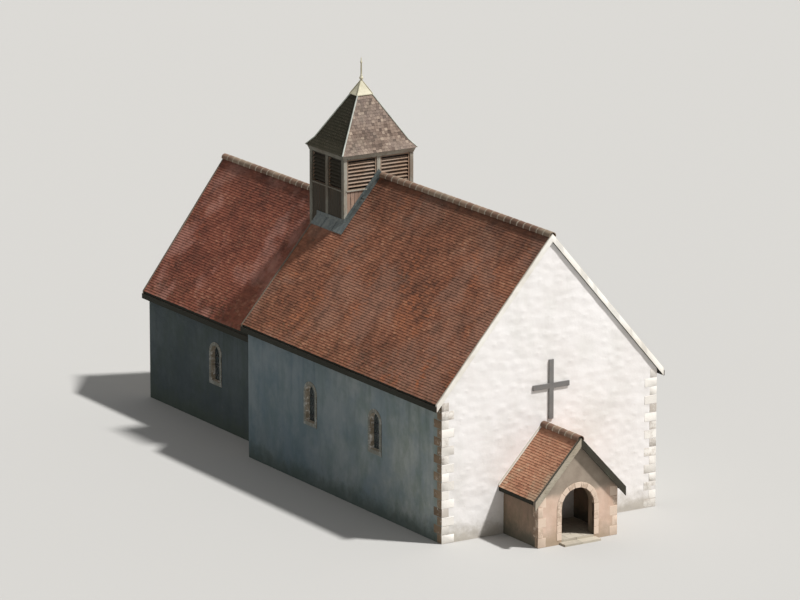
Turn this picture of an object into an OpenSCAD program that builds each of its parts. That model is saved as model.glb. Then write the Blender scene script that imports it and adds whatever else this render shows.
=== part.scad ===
// Small limewashed chapel: nave, chancel, west porch and a timber bell turret over the ridge.
// Millimetres. X runs to the south side, Y runs east along the nave, Z is up.
// The origin is the middle of the footprint, at ground level.

/* [Nave] */
// Outer width of the nave
nave_w = 9000; // [7600:100:11000]
// Outer length of the nave
nave_l = 13200; // [9600:100:18000]
// Height of the nave roof's surface over the outer face of the side walls
nave_eaves_h = 5350; // [4700:50:6500]
// Pitch of the nave roof, in degrees
nave_pitch = 49; // [46:1:56]
// Thickness of the nave walls
nave_wall_t = 800; // [660:20:900]
// Height of the nave floor over the ground
floor_h = 150; // [100:10:220]

/* [Chancel] */
// Set-back of the chancel's side walls from the nave's
chancel_setback = 1100; // [700:50:1700]
// Length of the chancel beyond the nave
chancel_l = 9300; // [6000:100:12000]
// Height of the chancel roof's surface over the outer face of its walls
chancel_eaves_h = 4550; // [4000:50:5000]
// Pitch of the chancel roof, in degrees
chancel_pitch = 53; // [46:1:56]
// Thickness of the chancel walls
chancel_wall_t = 700; // [560:20:800]
// Clear width of the arch between nave and chancel
chancel_arch_w = 3200; // [2400:50:3600]
// Height of that arch's springing
chancel_arch_spring_h = 2300; // [1900:50:2600]
// Rise of the chancel floor over the nave floor
chancel_step_h = 150; // [100:10:200]

/* [Porch] */
// How far the porch and the west door stand south of the nave's middle; below 0 is north
porch_x = -290; // [-600:10:600]
// Outer width of the porch
porch_w = 3300; // [3000:50:3900]
// Depth of the porch in front of the west wall
porch_l = 2200; // [1600:50:3000]
// Height of the porch roof's surface over the outer face of its walls
porch_eaves_h = 2010; // [1850:10:2200]
// Pitch of the porch roof, in degrees
porch_pitch = 47; // [40:1:50]
// Thickness of the porch walls
porch_wall_t = 350; // [250:10:450]
// Clear width of the porch arch
porch_arch_w = 1350; // [1100:10:1500]
// Height of the porch arch's springing
porch_arch_spring_h = 1275; // [1150:5:1420]
// How far the porch roof runs out in front of its gable
porch_verge = 150; // [110:10:320]
// Height of the porch bargeboards, square to the slope
bargeboard_h = 230; // [160:10:280]
// Thickness of the porch bargeboards
bargeboard_t = 40; // [25:5:60]
// How far the stone step stands out from the porch
step_d = 350; // [280:10:500]
// Width of the stone step
step_w = 1500; // [1400:50:2400]
// Height of the stone step
step_h = 75; // [50:5:95]

/* [Roofs] */
// Thickness of the nave and chancel roofs, square to the slope
roof_t = 180; // [140:10:240]
// Thickness of the porch roof, square to the slope
porch_roof_t = 140; // [100:10:160]
// Overhang of the nave and chancel eaves
eaves_overhang = 250; // [150:10:350]
// Overhang of the porch eaves
porch_eaves_overhang = 240; // [120:10:300]
// Overhang of the roofs past the gables
verge = 80; // [40:5:150]
// Radius of the half-round ridge tiles
ridge_r = 150; // [120:5:180]
// Height of the boards that close the eaves
eaves_board_h = 190; // [120:10:220]
// Thickness of the boards that close the eaves
eaves_board_t = 30; // [20:2:40]

/* [Roof carpentry] */
// Number of roof trusses in the nave
truss_count = 3; // [2:1:4]
// Width of the truss timbers
truss_timber_w = 220; // [160:10:280]
// Depth of the tie beams
tie_beam_h = 280; // [220:10:340]
// Depth of the principal rafters, square to the slope
rafter_h = 200; // [160:10:240]
// How far the tie beams run into the walls
tie_bearing = 250; // [150:10:260]

/* [West door] */
// Clear width between the stones of the west doorway
doorway_w = 1200; // [1050:10:1350]
// Height of the doorway arch's springing
doorway_spring_h = 1500; // [1300:10:1650]
// Width of the doorway's jamb and arch stones
doorway_stone_w = 150; // [130:5:200]
// Depth of the stone reveal in front of the door
doorway_reveal_d = 450; // [350:10:520]
// Thickness of the door leaf
door_t = 60; // [50:2:66]
// How far the leaf covers the stones on each side
door_lap = 50; // [30:2:60]
// Clearance between the closed leaf and the stones
door_gap = 8; // [7:1:14]
// Clearance under the leaf
door_floor_gap = 12; // [8:1:30]
// Radius of the rolled ends of the strap hinges
hinge_r = 12; // [9:1:14]
// Length of the strap hinges
strap_l = 980; // [600:10:1080]
// Height of the strap hinges
strap_h = 60; // [40:5:80]
// Thickness of the strap hinges
strap_t = 8; // [5:1:10]
// Radius of the door rings, to the middle of the bar
ring_r = 52; // [40:1:60]
// Radius of the bar of the door rings
ring_bar_r = 7; // [5:0.5:8]

/* [Windows] */
// Clear width of the nave and chancel windows
window_w = 620; // [500:10:760]
// Height of their straight sides, from sill to springing
window_side_h = 1050; // [700:10:1300]
// Clear width of the east window
east_window_w = 860; // [600:10:1100]
// Height of the east window's straight sides
east_window_side_h = 1350; // [900:10:1700]
// Height of the nave window sills over the ground
nave_sill_h = 2350; // [1500:10:2500]
// Height of the chancel side window sills over the ground
chancel_sill_h = 1750; // [1200:10:1900]
// Height of the east window's sill over the ground
east_sill_h = 2100; // [1500:10:2500]
// Number of windows in each side wall of the nave
nave_window_count = 2; // [1:1:3]
// Width of the stones round a window
window_stone_w = 140; // [100:5:180]
// Depth of the stones round a window
window_stone_d = 300; // [220:10:420]
// How far stones stand out from the plaster
stone_proud = 22; // [10:1:40]
// Thickness of the leaded glass
glass_t = 12; // [8:1:20]
// Depth of the glass behind the plaster
glass_setback = 170; // [120:5:190]

/* [Bell turret] */
// Width of the bell turret, across the nave
turret_w = 3000; // [2600:20:3400]
// Length of the bell turret, along the nave
turret_l = 2400; // [2000:20:2800]
// Height of the turret's eaves over the nave ridge
turret_above_ridge = 770; // [600:10:1200]
// Distance of the turret's centre west of the nave's east face
turret_inset = 600; // [200:10:900]
// Thickness of the turret's posts
post_w = 160; // [120:5:200]
// Thickness of the turret's boarding
board_t = 32; // [22:1:40]
// Depth of the boarding behind the face of the posts
board_inset = 24; // [15:1:40]
// Height of the louvred openings
louvre_h = 1180; // [900:10:1300]
// Width of the louvre frames' bars
louvre_bar_w = 55; // [40:1:70]
// Depth of the louvre frames
louvre_d = 110; // [90:2:130]
// Height from one louvre blade to the next
blade_step = 135; // [115:1:180]
// Thickness of a louvre blade
blade_t = 20; // [14:1:26]
// Slope of the louvre blades, in degrees
blade_angle = 40; // [30:1:46]
// Height of the boarded cornice under the spire
cornice_h = 170; // [120:5:220]
// How far the cornice stands out from the posts
cornice_proud = 55; // [30:5:90]
// Height of the spire over the turret's eaves
spire_h = 2450; // [2000:50:3600]
// Overhang of the spire past the posts
spire_overhang = 120; // [100:5:220]
// Width of the flared foot of the spire, on each side
flare_w = 260; // [200:10:380]
// Height of the flared foot of the spire
flare_h = 300; // [200:10:420]
// Thickness of the spire's boards and shingles
spire_t = 90; // [60:5:120]
// Height of the sheet cap on the spire's point
cap_h = 520; // [350:10:700]
// How far the cap stands out from the spire
cap_proud = 22; // [12:1:35]
// Radius of the ball under the finial
ball_r = 75; // [55:1:95]
// Radius of the finial rod
finial_r = 16; // [12:1:24]
// Height of the finial rod over the cap
finial_h = 820; // [500:10:1200]
// Width of the lead apron round the turret's foot
apron_w = 280; // [180:10:400]
// Thickness of the lead apron
apron_t = 14; // [8:1:20]

/* [Wall cross] */
// Height of the cross on the west wall
cross_h = 2150; // [1500:50:2800]
// Width of the cross over its arms
cross_w = 1520; // [1000:20:1900]
// Width of the bars of the cross
cross_bar_w = 190; // [120:5:260]
// How far the cross stands out from the wall
cross_t = 60; // [30:5:100]
// Height of the cross that stands over its arms
cross_head_h = 950; // [500:10:1000]
// Height of the foot of the cross over the porch ridge
cross_gap = 100; // [100:10:300]

/* [Quoins] */
// Height of a corner stone
quoin_h = 310; // [220:5:380]
// Long face of a corner stone
quoin_long = 520; // [420:10:600]
// Short face of a corner stone
quoin_short = 300; // [220:10:380]
// Long face of a porch corner stone
porch_quoin_long = 330; // [280:10:440]
// Short face of a porch corner stone
porch_quoin_short = 210; // [150:10:260]

/* [Hidden] */

limewash = "#f3efe8";
lead_grey = "#5f6a70";
old_tile = "#8a5a48";
timber = "#6b5848";
stone = "#b9ad9b";
iron = "#3a3a3c";
fine = 96;
// Overlap of cutting shapes past the faces that they cut
cut = 10;
// Joint between the roofs and what carries them
seat_gap = 0.5;

// Stations along Y, which centre the whole outline on the origin
porch_reach = porch_l + max(porch_verge + bargeboard_t, step_d);
west_y = (porch_reach - nave_l - chancel_l - verge) / 2;
porch_y = west_y - porch_l;
east_y = west_y + nave_l;
chancel_end_y = east_y + chancel_l;

nave_half = nave_w / 2;
nave_in = nave_half - nave_wall_t;
chancel_half = nave_half - chancel_setback;
chancel_in = chancel_half - chancel_wall_t;
porch_half = porch_w / 2;
porch_in = porch_half - porch_wall_t;
porch_back_y = porch_y + porch_wall_t;
chancel_floor_h = floor_h + chancel_step_h;

// Each roof is [half width over the walls, surface height there, pitch, thickness]
nave_roof = [nave_half, nave_eaves_h, nave_pitch, roof_t];
chancel_roof = [chancel_half, chancel_eaves_h, chancel_pitch, roof_t];
porch_roof = [porch_half, porch_eaves_h, porch_pitch, porch_roof_t];

function surface_z(roof, x) = roof[1] + (roof[0] - abs(x)) * tan(roof[2]);
function under_z(roof, x) = surface_z(roof, x) - roof[3] / cos(roof[2]);
function seat_z(roof, x) = under_z(roof, x) - seat_gap;

// Truss heights: the rafters land on the tie beams at the inner faces of the walls
rafter_v = rafter_h / cos(nave_pitch);
tie_top_z = seat_z(nave_roof, nave_in) - rafter_v;
truss_gap = (nave_l - 2 * nave_wall_t) / (truss_count + 1);

// West doorway: stones, recess behind them and the leaf, about the porch's middle
recess_half = doorway_w / 2 + doorway_stone_w;
recess_top_z = doorway_spring_h + doorway_w / 2 + doorway_stone_w;
leaf_half = doorway_w / 2 + door_lap;
leaf_y = west_y + doorway_reveal_d + door_gap;
leaf_back_y = leaf_y + door_t;
hinge_x = -leaf_half - hinge_r + 2;
hinge_y = leaf_back_y + hinge_r;
ring_x = doorway_w / 2 - 2 * ring_r;
ring_z = 1050;

// Turret: heights and plan
turret_y = east_y - turret_inset;
turret_reach = [turret_w / 2, turret_l / 2];
turret_eaves_z = surface_z(nave_roof, 0) + turret_above_ridge;
cornice_z = turret_eaves_z - cornice_h;
louvre_z = cornice_z - louvre_h;
cap_z = spire_h - cap_h;
// Half sizes of the spire across X and across Y, then those of its cap
spire_reach = [for (half = turret_reach) half + spire_overhang];
cap_reach = [for (half = spire_reach) (half - flare_w) * cap_h / (spire_h - flare_h) + cap_proud];
cap_top_z = spire_h + cap_proud * (spire_h - flare_h) / (spire_reach[0] - flare_w);
// Faces of the turret: turn, distance from the middle and width of each of the two bays
faces = [for (turn = [0:90:270]) let(across = turn % 180 == 0 ? 0 : 1)
    [turn, turret_reach[1 - across], (2 * turret_reach[across] - 3 * post_w) / 2]];

cross_z = surface_z(porch_roof, 0) + cross_gap;

// Turns a drawing of X and Z into a bar from y0 to y1
module along_y(y0, y1)
    translate([0, y1, 0])
        rotate([90, 0, 0])
            linear_extrude(height = y1 - y0)
                children();

// Turns a drawing of Y and Z into a bar from x0 to x1
module along_x(x0, x1)
    translate([x0, 0, 0])
        rotate([90, 0, 90])
            linear_extrude(height = x1 - x0)
                children();

module block(x, y, z)
    translate([x[0], y[0], z[0]])
        cube([x[1] - x[0], y[1] - y[0], z[1] - z[0]]);

// Gable wall drawing from height z0 up to the underside of its roof
module gable_shape(roof, z0)
    polygon([
        [-roof[0], z0], [roof[0], z0], [roof[0], seat_z(roof, roof[0])],
        [0, seat_z(roof, 0)], [-roof[0], seat_z(roof, roof[0])]
    ]);

// Round-headed opening, centred on X = 0, with its foot at z0
module arched_shape(width, z0, spring_z) {
    translate([-width / 2, z0])
        square([width, spring_z - z0]);
    translate([0, spring_z])
        circle(d = width, $fn = fine);
}

// Everything under a roof's surface, raised by lift
module roof_solid(roof, overhang, lift, y0, y1) {
    reach = roof[0] + overhang;
    along_y(y0, y1)
        polygon([
            [-reach, -cut], [reach, -cut], [reach, surface_z(roof, reach) + lift],
            [0, surface_z(roof, 0) + lift], [-reach, surface_z(roof, reach) + lift]
        ]);
}

// One slope of a roof; side is -1 for north and 1 for south
module roof_slope(roof, overhang, side, y0, y1) {
    reach = roof[0] + overhang;
    along_y(y0, y1)
        polygon([
            [0, surface_z(roof, 0)], [side * reach, surface_z(roof, reach)],
            [side * reach, under_z(roof, reach)], [0, under_z(roof, 0)]
        ]);
}

// Side wall whose top is bevelled to lie under the roof
module side_wall(roof, inner, side, y0, y1)
    along_y(y0, y1)
        polygon([
            [side * inner, 0], [side * roof[0], 0],
            [side * roof[0], seat_z(roof, roof[0])], [side * inner, seat_z(roof, inner)]
        ]);

// Half-round ridge tiles, seated on both slopes
module ridge_run(roof, y0, y1)
    difference() {
        translate([0, y0, surface_z(roof, 0) - ridge_r / 2])
            rotate([-90, 0, 0])
                cylinder(r = ridge_r, h = y1 - y0, $fn = fine);
        roof_solid(roof, 0, seat_gap, y0 - cut, y1 + cut);
    }

module eaves_board(roof, side, y0, y1) {
    reach = roof[0] + eaves_overhang;
    face = side * (reach + eaves_board_t / 2);
    low_z = under_z(roof, reach);
    block([face - eaves_board_t / 2, face + eaves_board_t / 2], [y0, y1],
        [low_z, low_z + eaves_board_h]);
}

module at_porch()
    translate([porch_x, 0, 0])
        children();

module at_turret()
    translate([0, turret_y, 0])
        children();

// Block over the turret's plan, widened by margin on each side
module turret_block(margin, z0, z1)
    block([-turret_reach[0] - margin, turret_reach[0] + margin],
        [-turret_reach[1] - margin, turret_reach[1] + margin], [z0, z1]);

// Both roofs below the turret, as one cutting shape
module roofs_under_turret(lift) {
    roof_solid(nave_roof, 0, lift, west_y, east_y + verge);
    roof_solid(chancel_roof, 0, lift, east_y, chancel_end_y);
}

// Fills both bays of each face of the turret with boards or louvres, with -Y outwards
module each_bay(kind)
    at_turret()
        for (face = faces, side = [-1, 1])
            rotate([0, 0, face[0]])
                translate([side * (face[2] + post_w) / 2, board_inset - face[1], 0]) {
                    if (kind == "boards") bay_boards(face[2]);
                    if (kind == "louvre") louvre(face[2]);
                }

module tie_beam_at(y)
    block([-nave_in - tie_bearing, nave_in + tie_bearing],
        [y - truss_timber_w / 2, y + truss_timber_w / 2], [tie_top_z - tie_beam_h, tie_top_z]);

function truss_y(i) = west_y + nave_wall_t + truss_gap * (i + 1);
function nave_window_y(i) = west_y + nave_l * (i + 1) / (nave_window_count + 1);
chancel_window_y = (east_y + chancel_end_y - chancel_wall_t) / 2;

// Moves an opening drawn towards -Y at the origin onto a wall that faces side
module on_side_wall(side, face, y)
    translate([side * face, y, 0])
        rotate([0, 0, side * 90])
            children();

module on_east_wall()
    translate([0, chancel_end_y, 0])
        rotate([0, 0, 180])
            children();

// Hole for a window and its stones, right through a wall
module window_hole(width, sill, side_h, wall_t)
    along_y(-cut, wall_t + cut)
        arched_shape(width + 2 * window_stone_w, sill - window_stone_w, sill + side_h);

module window_stones(width, sill, side_h)
    along_y(-stone_proud, window_stone_d)
        difference() {
            arched_shape(width + 2 * window_stone_w, sill - window_stone_w, sill + side_h);
            arched_shape(width, sill, sill + side_h);
        }

module window_pane(width, sill, side_h)
    along_y(glass_setback, glass_setback + glass_t)
        arched_shape(width, sill, sill + side_h);

// Calls for each window in turn; kind picks the hole, the stones or the pane
module window_piece(kind, width, sill, side_h, wall_t) {
    if (kind == "hole") window_hole(width, sill, side_h, wall_t);
    if (kind == "stones") window_stones(width, sill, side_h);
    if (kind == "pane") window_pane(width, sill, side_h);
}

module nave_windows(kind, side)
    for (i = [0:nave_window_count - 1])
        on_side_wall(side, nave_half, nave_window_y(i))
            window_piece(kind, window_w, nave_sill_h, window_side_h, nave_wall_t);

module chancel_window(kind, side)
    on_side_wall(side, chancel_half, chancel_window_y)
        window_piece(kind, window_w, chancel_sill_h, window_side_h, chancel_wall_t);

module east_window(kind)
    on_east_wall()
        window_piece(kind, east_window_w, east_sill_h, east_window_side_h, chancel_wall_t);

module all_windows(kind) {
    for (side = [-1, 1]) {
        nave_windows(kind, side);
        chancel_window(kind, side);
    }
    east_window(kind);
}

// Nave

module nave_floor()
    color(stone)
        union() {
            block([-nave_in, nave_in], [west_y + nave_wall_t, east_y - nave_wall_t], [0, floor_h]);
            at_porch() {
                block([-recess_half, recess_half],
                    [west_y + doorway_reveal_d, west_y + nave_wall_t + cut], [0, floor_h]);
                block([-doorway_w / 2, doorway_w / 2], [west_y, west_y + doorway_reveal_d + cut],
                    [0, floor_h]);
            }
        }

module west_wall_beside(side) {
    jamb = porch_x + side * recess_half;
    color(limewash)
        along_y(west_y, west_y + nave_wall_t)
            polygon([
                [jamb, 0], [side * nave_half, 0], [side * nave_half, recess_top_z],
                [jamb, recess_top_z]
            ]);
}

module west_wall_north() west_wall_beside(-1);

module west_wall_south() west_wall_beside(1);

module west_gable()
    color(limewash)
        along_y(west_y, west_y + nave_wall_t)
            gable_shape(nave_roof, recess_top_z);

module nave_side_wall(side)
    color(limewash)
        difference() {
            side_wall(nave_roof, nave_in, side, west_y + nave_wall_t, east_y - nave_wall_t);
            nave_windows("hole", side);
            for (i = [0:truss_count - 1]) tie_beam_at(truss_y(i));
        }

module nave_north_wall() nave_side_wall(-1);

module nave_south_wall() nave_side_wall(1);

module chancel_arch_piers()
    color(limewash)
        for (side = [-1, 1])
            along_y(east_y - nave_wall_t, east_y)
                polygon([
                    [side * chancel_arch_w / 2, 0], [side * nave_half, 0],
                    [side * nave_half, chancel_arch_spring_h],
                    [side * chancel_arch_w / 2, chancel_arch_spring_h]
                ]);

module east_gable()
    color(limewash)
        along_y(east_y - nave_wall_t, east_y)
            difference() {
                gable_shape(nave_roof, chancel_arch_spring_h);
                translate([0, chancel_arch_spring_h])
                    circle(d = chancel_arch_w, $fn = fine);
            }

module nave_roof_side(side)
    color(old_tile)
        roof_slope(nave_roof, eaves_overhang, side, west_y - verge, east_y + verge);

module nave_roof_north() nave_roof_side(-1);

module nave_roof_south() nave_roof_side(1);

module tie_beams()
    color(timber)
        for (i = [0:truss_count - 1]) tie_beam_at(truss_y(i));

module king_posts()
    color(timber)
        for (i = [0:truss_count - 1])
            along_y(truss_y(i) - truss_timber_w / 2, truss_y(i) + truss_timber_w / 2)
                polygon([
                    [-truss_timber_w / 2, tie_top_z], [truss_timber_w / 2, tie_top_z],
                    [truss_timber_w / 2, seat_z(nave_roof, truss_timber_w / 2)],
                    [0, seat_z(nave_roof, 0)],
                    [-truss_timber_w / 2, seat_z(nave_roof, truss_timber_w / 2)]
                ]);

module principal_rafters()
    color(timber)
        for (i = [0:truss_count - 1], side = [-1, 1])
            along_y(truss_y(i) - truss_timber_w / 2, truss_y(i) + truss_timber_w / 2)
                polygon([
                    for (corner = [[truss_timber_w / 2, 0], [nave_in, 0], [nave_in, rafter_v],
                        [truss_timber_w / 2, rafter_v]])
                        [side * corner[0], seat_z(nave_roof, corner[0]) - corner[1]]
                ]);

module ridge_tiles()
    color(old_tile) {
        ridge_run(nave_roof, west_y - verge, turret_y - turret_reach[1] - apron_w);
        ridge_run(chancel_roof, turret_y + turret_reach[1] + apron_w, chancel_end_y + verge);
        at_porch()
            ridge_run(porch_roof, porch_y - porch_verge, west_y);
    }

module eaves_boards()
    color(timber)
        for (side = [-1, 1]) {
            eaves_board(nave_roof, side, west_y - verge, east_y + verge);
            eaves_board(chancel_roof, side, east_y, chancel_end_y + verge);
        }

// Chancel

module chancel_floor()
    color(stone)
        union() {
            block([-chancel_arch_w / 2, chancel_arch_w / 2], [east_y - nave_wall_t, east_y + cut],
                [0, chancel_floor_h]);
            block([-chancel_in, chancel_in], [east_y, chancel_end_y - chancel_wall_t],
                [0, chancel_floor_h]);
        }

module chancel_side_wall(side)
    color(limewash)
        difference() {
            side_wall(chancel_roof, chancel_in, side, east_y, chancel_end_y - chancel_wall_t);
            chancel_window("hole", side);
        }

module chancel_north_wall() chancel_side_wall(-1);

module chancel_south_wall() chancel_side_wall(1);

module chancel_east_wall()
    color(limewash)
        difference() {
            along_y(chancel_end_y - chancel_wall_t, chancel_end_y)
                gable_shape(chancel_roof, 0);
            east_window("hole");
        }

module chancel_roof_side(side)
    color(old_tile)
        roof_slope(chancel_roof, eaves_overhang, side, east_y, chancel_end_y + verge);

module chancel_roof_north() chancel_roof_side(-1);

module chancel_roof_south() chancel_roof_side(1);

module window_surrounds()
    color(stone)
        all_windows("stones");

module window_glass()
    color("#8fa6b2", 0.5)
        all_windows("pane");

// Porch

module porch_floor()
    color(stone)
        at_porch()
            union() {
                block([-porch_in, porch_in], [porch_back_y, west_y], [0, floor_h]);
                block([-porch_arch_w / 2, porch_arch_w / 2], [porch_y, porch_back_y + cut],
                    [0, floor_h]);
                block([-step_w / 2, step_w / 2], [porch_y - step_d, porch_y], [0, step_h]);
            }

module porch_side_wall(side)
    color(limewash)
        at_porch()
            side_wall(porch_roof, porch_in, side, porch_back_y, west_y);

module porch_north_wall() porch_side_wall(-1);

module porch_south_wall() porch_side_wall(1);

module porch_piers()
    color(limewash)
        at_porch()
            for (side = [-1, 1])
                along_y(porch_y, porch_back_y)
                    polygon([
                        [side * porch_arch_w / 2, 0], [side * porch_half, 0],
                        [side * porch_half, porch_arch_spring_h],
                        [side * porch_arch_w / 2, porch_arch_spring_h]
                    ]);

module porch_gable()
    color(limewash)
        at_porch()
            along_y(porch_y, porch_back_y)
                difference() {
                    gable_shape(porch_roof, porch_arch_spring_h);
                    translate([0, porch_arch_spring_h])
                        circle(d = porch_arch_w, $fn = fine);
                }

module porch_roof_side(side)
    color("#b4694b")
        at_porch()
            roof_slope(porch_roof, porch_eaves_overhang, side, porch_y - porch_verge, west_y);

module porch_roof_north() porch_roof_side(-1);

module porch_roof_south() porch_roof_side(1);

module porch_bargeboards() {
    reach = porch_half + porch_eaves_overhang;
    depth = bargeboard_h / cos(porch_pitch);
    color("#4d3f33")
        at_porch()
            along_y(porch_y - porch_verge - bargeboard_t, porch_y - porch_verge)
                polygon([
                    [-reach, surface_z(porch_roof, reach)], [0, surface_z(porch_roof, 0)],
                    [reach, surface_z(porch_roof, reach)],
                    [reach, surface_z(porch_roof, reach) - depth],
                    [0, surface_z(porch_roof, 0) - depth],
                    [-reach, surface_z(porch_roof, reach) - depth]
                ]);
}

// West doorway

module doorway_jambs()
    color(stone)
        at_porch()
            for (side = [-1, 1])
                along_y(west_y, west_y + doorway_reveal_d)
                    polygon([
                        [side * doorway_w / 2, 0], [side * recess_half, 0],
                        [side * recess_half, doorway_spring_h],
                        [side * doorway_w / 2, doorway_spring_h]
                    ]);

module doorway_arch()
    color(stone)
        at_porch()
            along_y(west_y, west_y + doorway_reveal_d)
                difference() {
                    translate([-recess_half, doorway_spring_h])
                        square([2 * recess_half, recess_top_z - doorway_spring_h]);
                    translate([0, doorway_spring_h])
                        circle(d = doorway_w, $fn = fine);
                }

module door_leaf()
    color("#7c4a36")
        at_porch()
            along_y(leaf_y, leaf_back_y)
                arched_shape(2 * leaf_half, floor_h + door_floor_gap, doorway_spring_h);

// Ring handle that hangs from a round plate; face is the plate's seat and out its direction
module door_ring(face, out) {
    translate([ring_x, face, ring_z])
        rotate([out * 90, 0, 0])
            cylinder(r = ring_r * 0.8, h = strap_t, $fn = fine);
    translate([ring_x, face - out * (strap_t + ring_bar_r - 1), ring_z - ring_r * 0.6])
        rotate([90, 0, 0])
            rotate_extrude($fn = fine)
                translate([ring_r, 0])
                    circle(r = ring_bar_r, $fn = 24);
}

module door_ironwork()
    color(iron)
        at_porch() {
            for (z = [floor_h + 330, doorway_spring_h - 180]) {
                block([hinge_x, hinge_x + strap_l], [leaf_back_y, leaf_back_y + strap_t],
                    [z - strap_h / 2, z + strap_h / 2]);
                translate([hinge_x, hinge_y, z - strap_h / 2])
                    cylinder(r = hinge_r, h = strap_h, $fn = 48);
            }
            door_ring(leaf_y, 1);
            door_ring(leaf_back_y, -1);
        }

module wall_cross() {
    arm_z = cross_z + cross_h - cross_head_h;
    color(iron)
        along_y(west_y - cross_t, west_y)
            union() {
                translate([-cross_bar_w / 2, cross_z])
                    square([cross_bar_w, cross_h]);
                translate([-cross_w / 2, arm_z - cross_bar_w / 2])
                    square([cross_w, cross_bar_w]);
            }
}

// One column of corner stones, long and short in turn, on the corner at (x, y)
module quoin_column(side, x, y, top_z, long_face, short_face) {
    courses = floor(top_z / quoin_h);
    course_h = top_z / courses;
    for (i = [0:courses - 1]) {
        front = i % 2 == 0 ? long_face : short_face;
        flank = i % 2 == 0 ? short_face : long_face;
        outer = side * (x + stone_proud);
        z = [i * course_h, (i + 1) * course_h];
        block([min(outer, outer - side * (front + stone_proud)),
            max(outer, outer - side * (front + stone_proud))], [y - stone_proud, y], z);
        block([min(outer, side * x), max(outer, side * x)], [y - stone_proud, y + flank], z);
    }
}

module quoins()
    color(stone)
        for (side = [-1, 1]) {
            quoin_column(side, nave_half, west_y, seat_z(nave_roof, nave_half + stone_proud),
                quoin_long, quoin_short);
            at_porch()
                quoin_column(side, porch_half, porch_y, seat_z(porch_roof, porch_half + stone_proud),
                    porch_quoin_long, porch_quoin_short);
        }

// Bell turret

// Posts at the corners and in the middle of each face, cut to stand on the roofs
module turret_posts()
    color(timber)
        difference() {
            at_turret()
                for (ix = [-1:1], iy = [-1:1])
                    if (ix != 0 || iy != 0)
                        translate([ix * (turret_reach[0] - post_w / 2),
                            iy * (turret_reach[1] - post_w / 2), 0])
                            block([-post_w / 2, post_w / 2], [-post_w / 2, post_w / 2],
                                [0, cornice_z]);
            roofs_under_turret(seat_gap);
        }

module bay_boards(bay_w)
    block([-bay_w / 2, bay_w / 2], [0, board_t], [0, louvre_z]);

// Boards between the posts, from the roofs up to the louvres
module turret_boarding()
    color("#857463")
        difference() {
            each_bay("boards");
            roofs_under_turret(seat_gap);
        }

// One louvre: a frame with slanting blades that shed the rain outwards
module louvre(bay_w) {
    blade_count = floor((louvre_h - 2 * louvre_bar_w) / blade_step);
    first_z = louvre_z + louvre_bar_w + (louvre_h - 2 * louvre_bar_w - blade_step * (blade_count - 1)) / 2;
    blade_l = (louvre_d - blade_t * sin(blade_angle)) / cos(blade_angle);
    difference() {
        block([-bay_w / 2, bay_w / 2], [0, louvre_d], [louvre_z, cornice_z]);
        block([-bay_w / 2 + louvre_bar_w, bay_w / 2 - louvre_bar_w], [-cut, louvre_d + cut],
            [louvre_z + louvre_bar_w, cornice_z - louvre_bar_w]);
    }
    for (i = [0:blade_count - 1])
        translate([0, louvre_d / 2, first_z + i * blade_step])
            rotate([blade_angle, 0, 0])
                block([-bay_w / 2 + 1, bay_w / 2 - 1], [-blade_l / 2, blade_l / 2],
                    [-blade_t / 2, blade_t / 2]);
}

module turret_louvres()
    color(timber)
        difference() {
            each_bay("louvre");
            roofs_under_turret(seat_gap);
        }

module turret_cornice()
    color(timber)
        at_turret()
            difference() {
                turret_block(cornice_proud, cornice_z, turret_eaves_z);
                turret_block(-post_w, cornice_z - cut, turret_eaves_z + cut);
            }

// Outline of the spire where it is half wide: steep sides with a flared foot
module spire_outline(half)
    polygon([
        [-half, 0], [half, 0], [half - flare_w, flare_h], [0, spire_h], [flare_w - half, flare_h]
    ]);

// Hollow under the boards of the spire
module spire_inside(half) {
    foot = half - spire_overhang - post_w;
    waist = half - flare_w - spire_t;
    polygon([
        [-foot, 0], [foot, 0], [waist, flare_h],
        [0, spire_h * waist / (half - flare_w)], [-waist, flare_h]
    ]);
}

module cap_outline(half)
    polygon([[-half, cap_z], [half, cap_z], [0, cap_top_z]]);

// Four-sided solid over the turret's eaves: the first child is its outline across X, the
// second across Y
module four_sided(reach)
    at_turret()
        translate([0, 0, turret_eaves_z])
            intersection() {
                along_y(-reach[1], reach[1]) children(0);
                along_x(-reach[0], reach[0]) children(1);
            }

module spire_solid()
    four_sided(spire_reach) {
        spire_outline(spire_reach[0]);
        spire_outline(spire_reach[1]);
    }

module cap_solid()
    four_sided(cap_reach) {
        cap_outline(cap_reach[0]);
        cap_outline(cap_reach[1]);
    }

module turret_spire()
    color("#8d7a6a")
        difference() {
            spire_solid();
            translate([0, 0, -cut])
                four_sided(spire_reach) {
                    spire_inside(spire_reach[0]);
                    spire_inside(spire_reach[1]);
                }
        }

// Sheet cap that fits over the point of the spire
module turret_cap()
    color("#ded7b4")
        difference() {
            cap_solid();
            spire_solid();
        }

module turret_finial()
    color(iron) {
        top_z = turret_eaves_z + cap_top_z;
        difference() {
            at_turret()
                translate([0, 0, top_z + ball_r / 2])
                    sphere(r = ball_r, $fn = 48);
            cap_solid();
        }
        at_turret()
            translate([0, 0, top_z + ball_r])
                cylinder(r = finial_r, h = finial_h - ball_r, $fn = 32);
    }

// Lead sheet that lies on the roofs round the turret's foot
module turret_apron()
    color(lead_grey)
        difference() {
            intersection() {
                roofs_under_turret(seat_gap + apron_t);
                at_turret()
                    turret_block(apron_w, 0, turret_eaves_z);
            }
            roofs_under_turret(seat_gap);
            at_turret()
                turret_block(0, -cut, turret_eaves_z + cut);
        }

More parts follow.
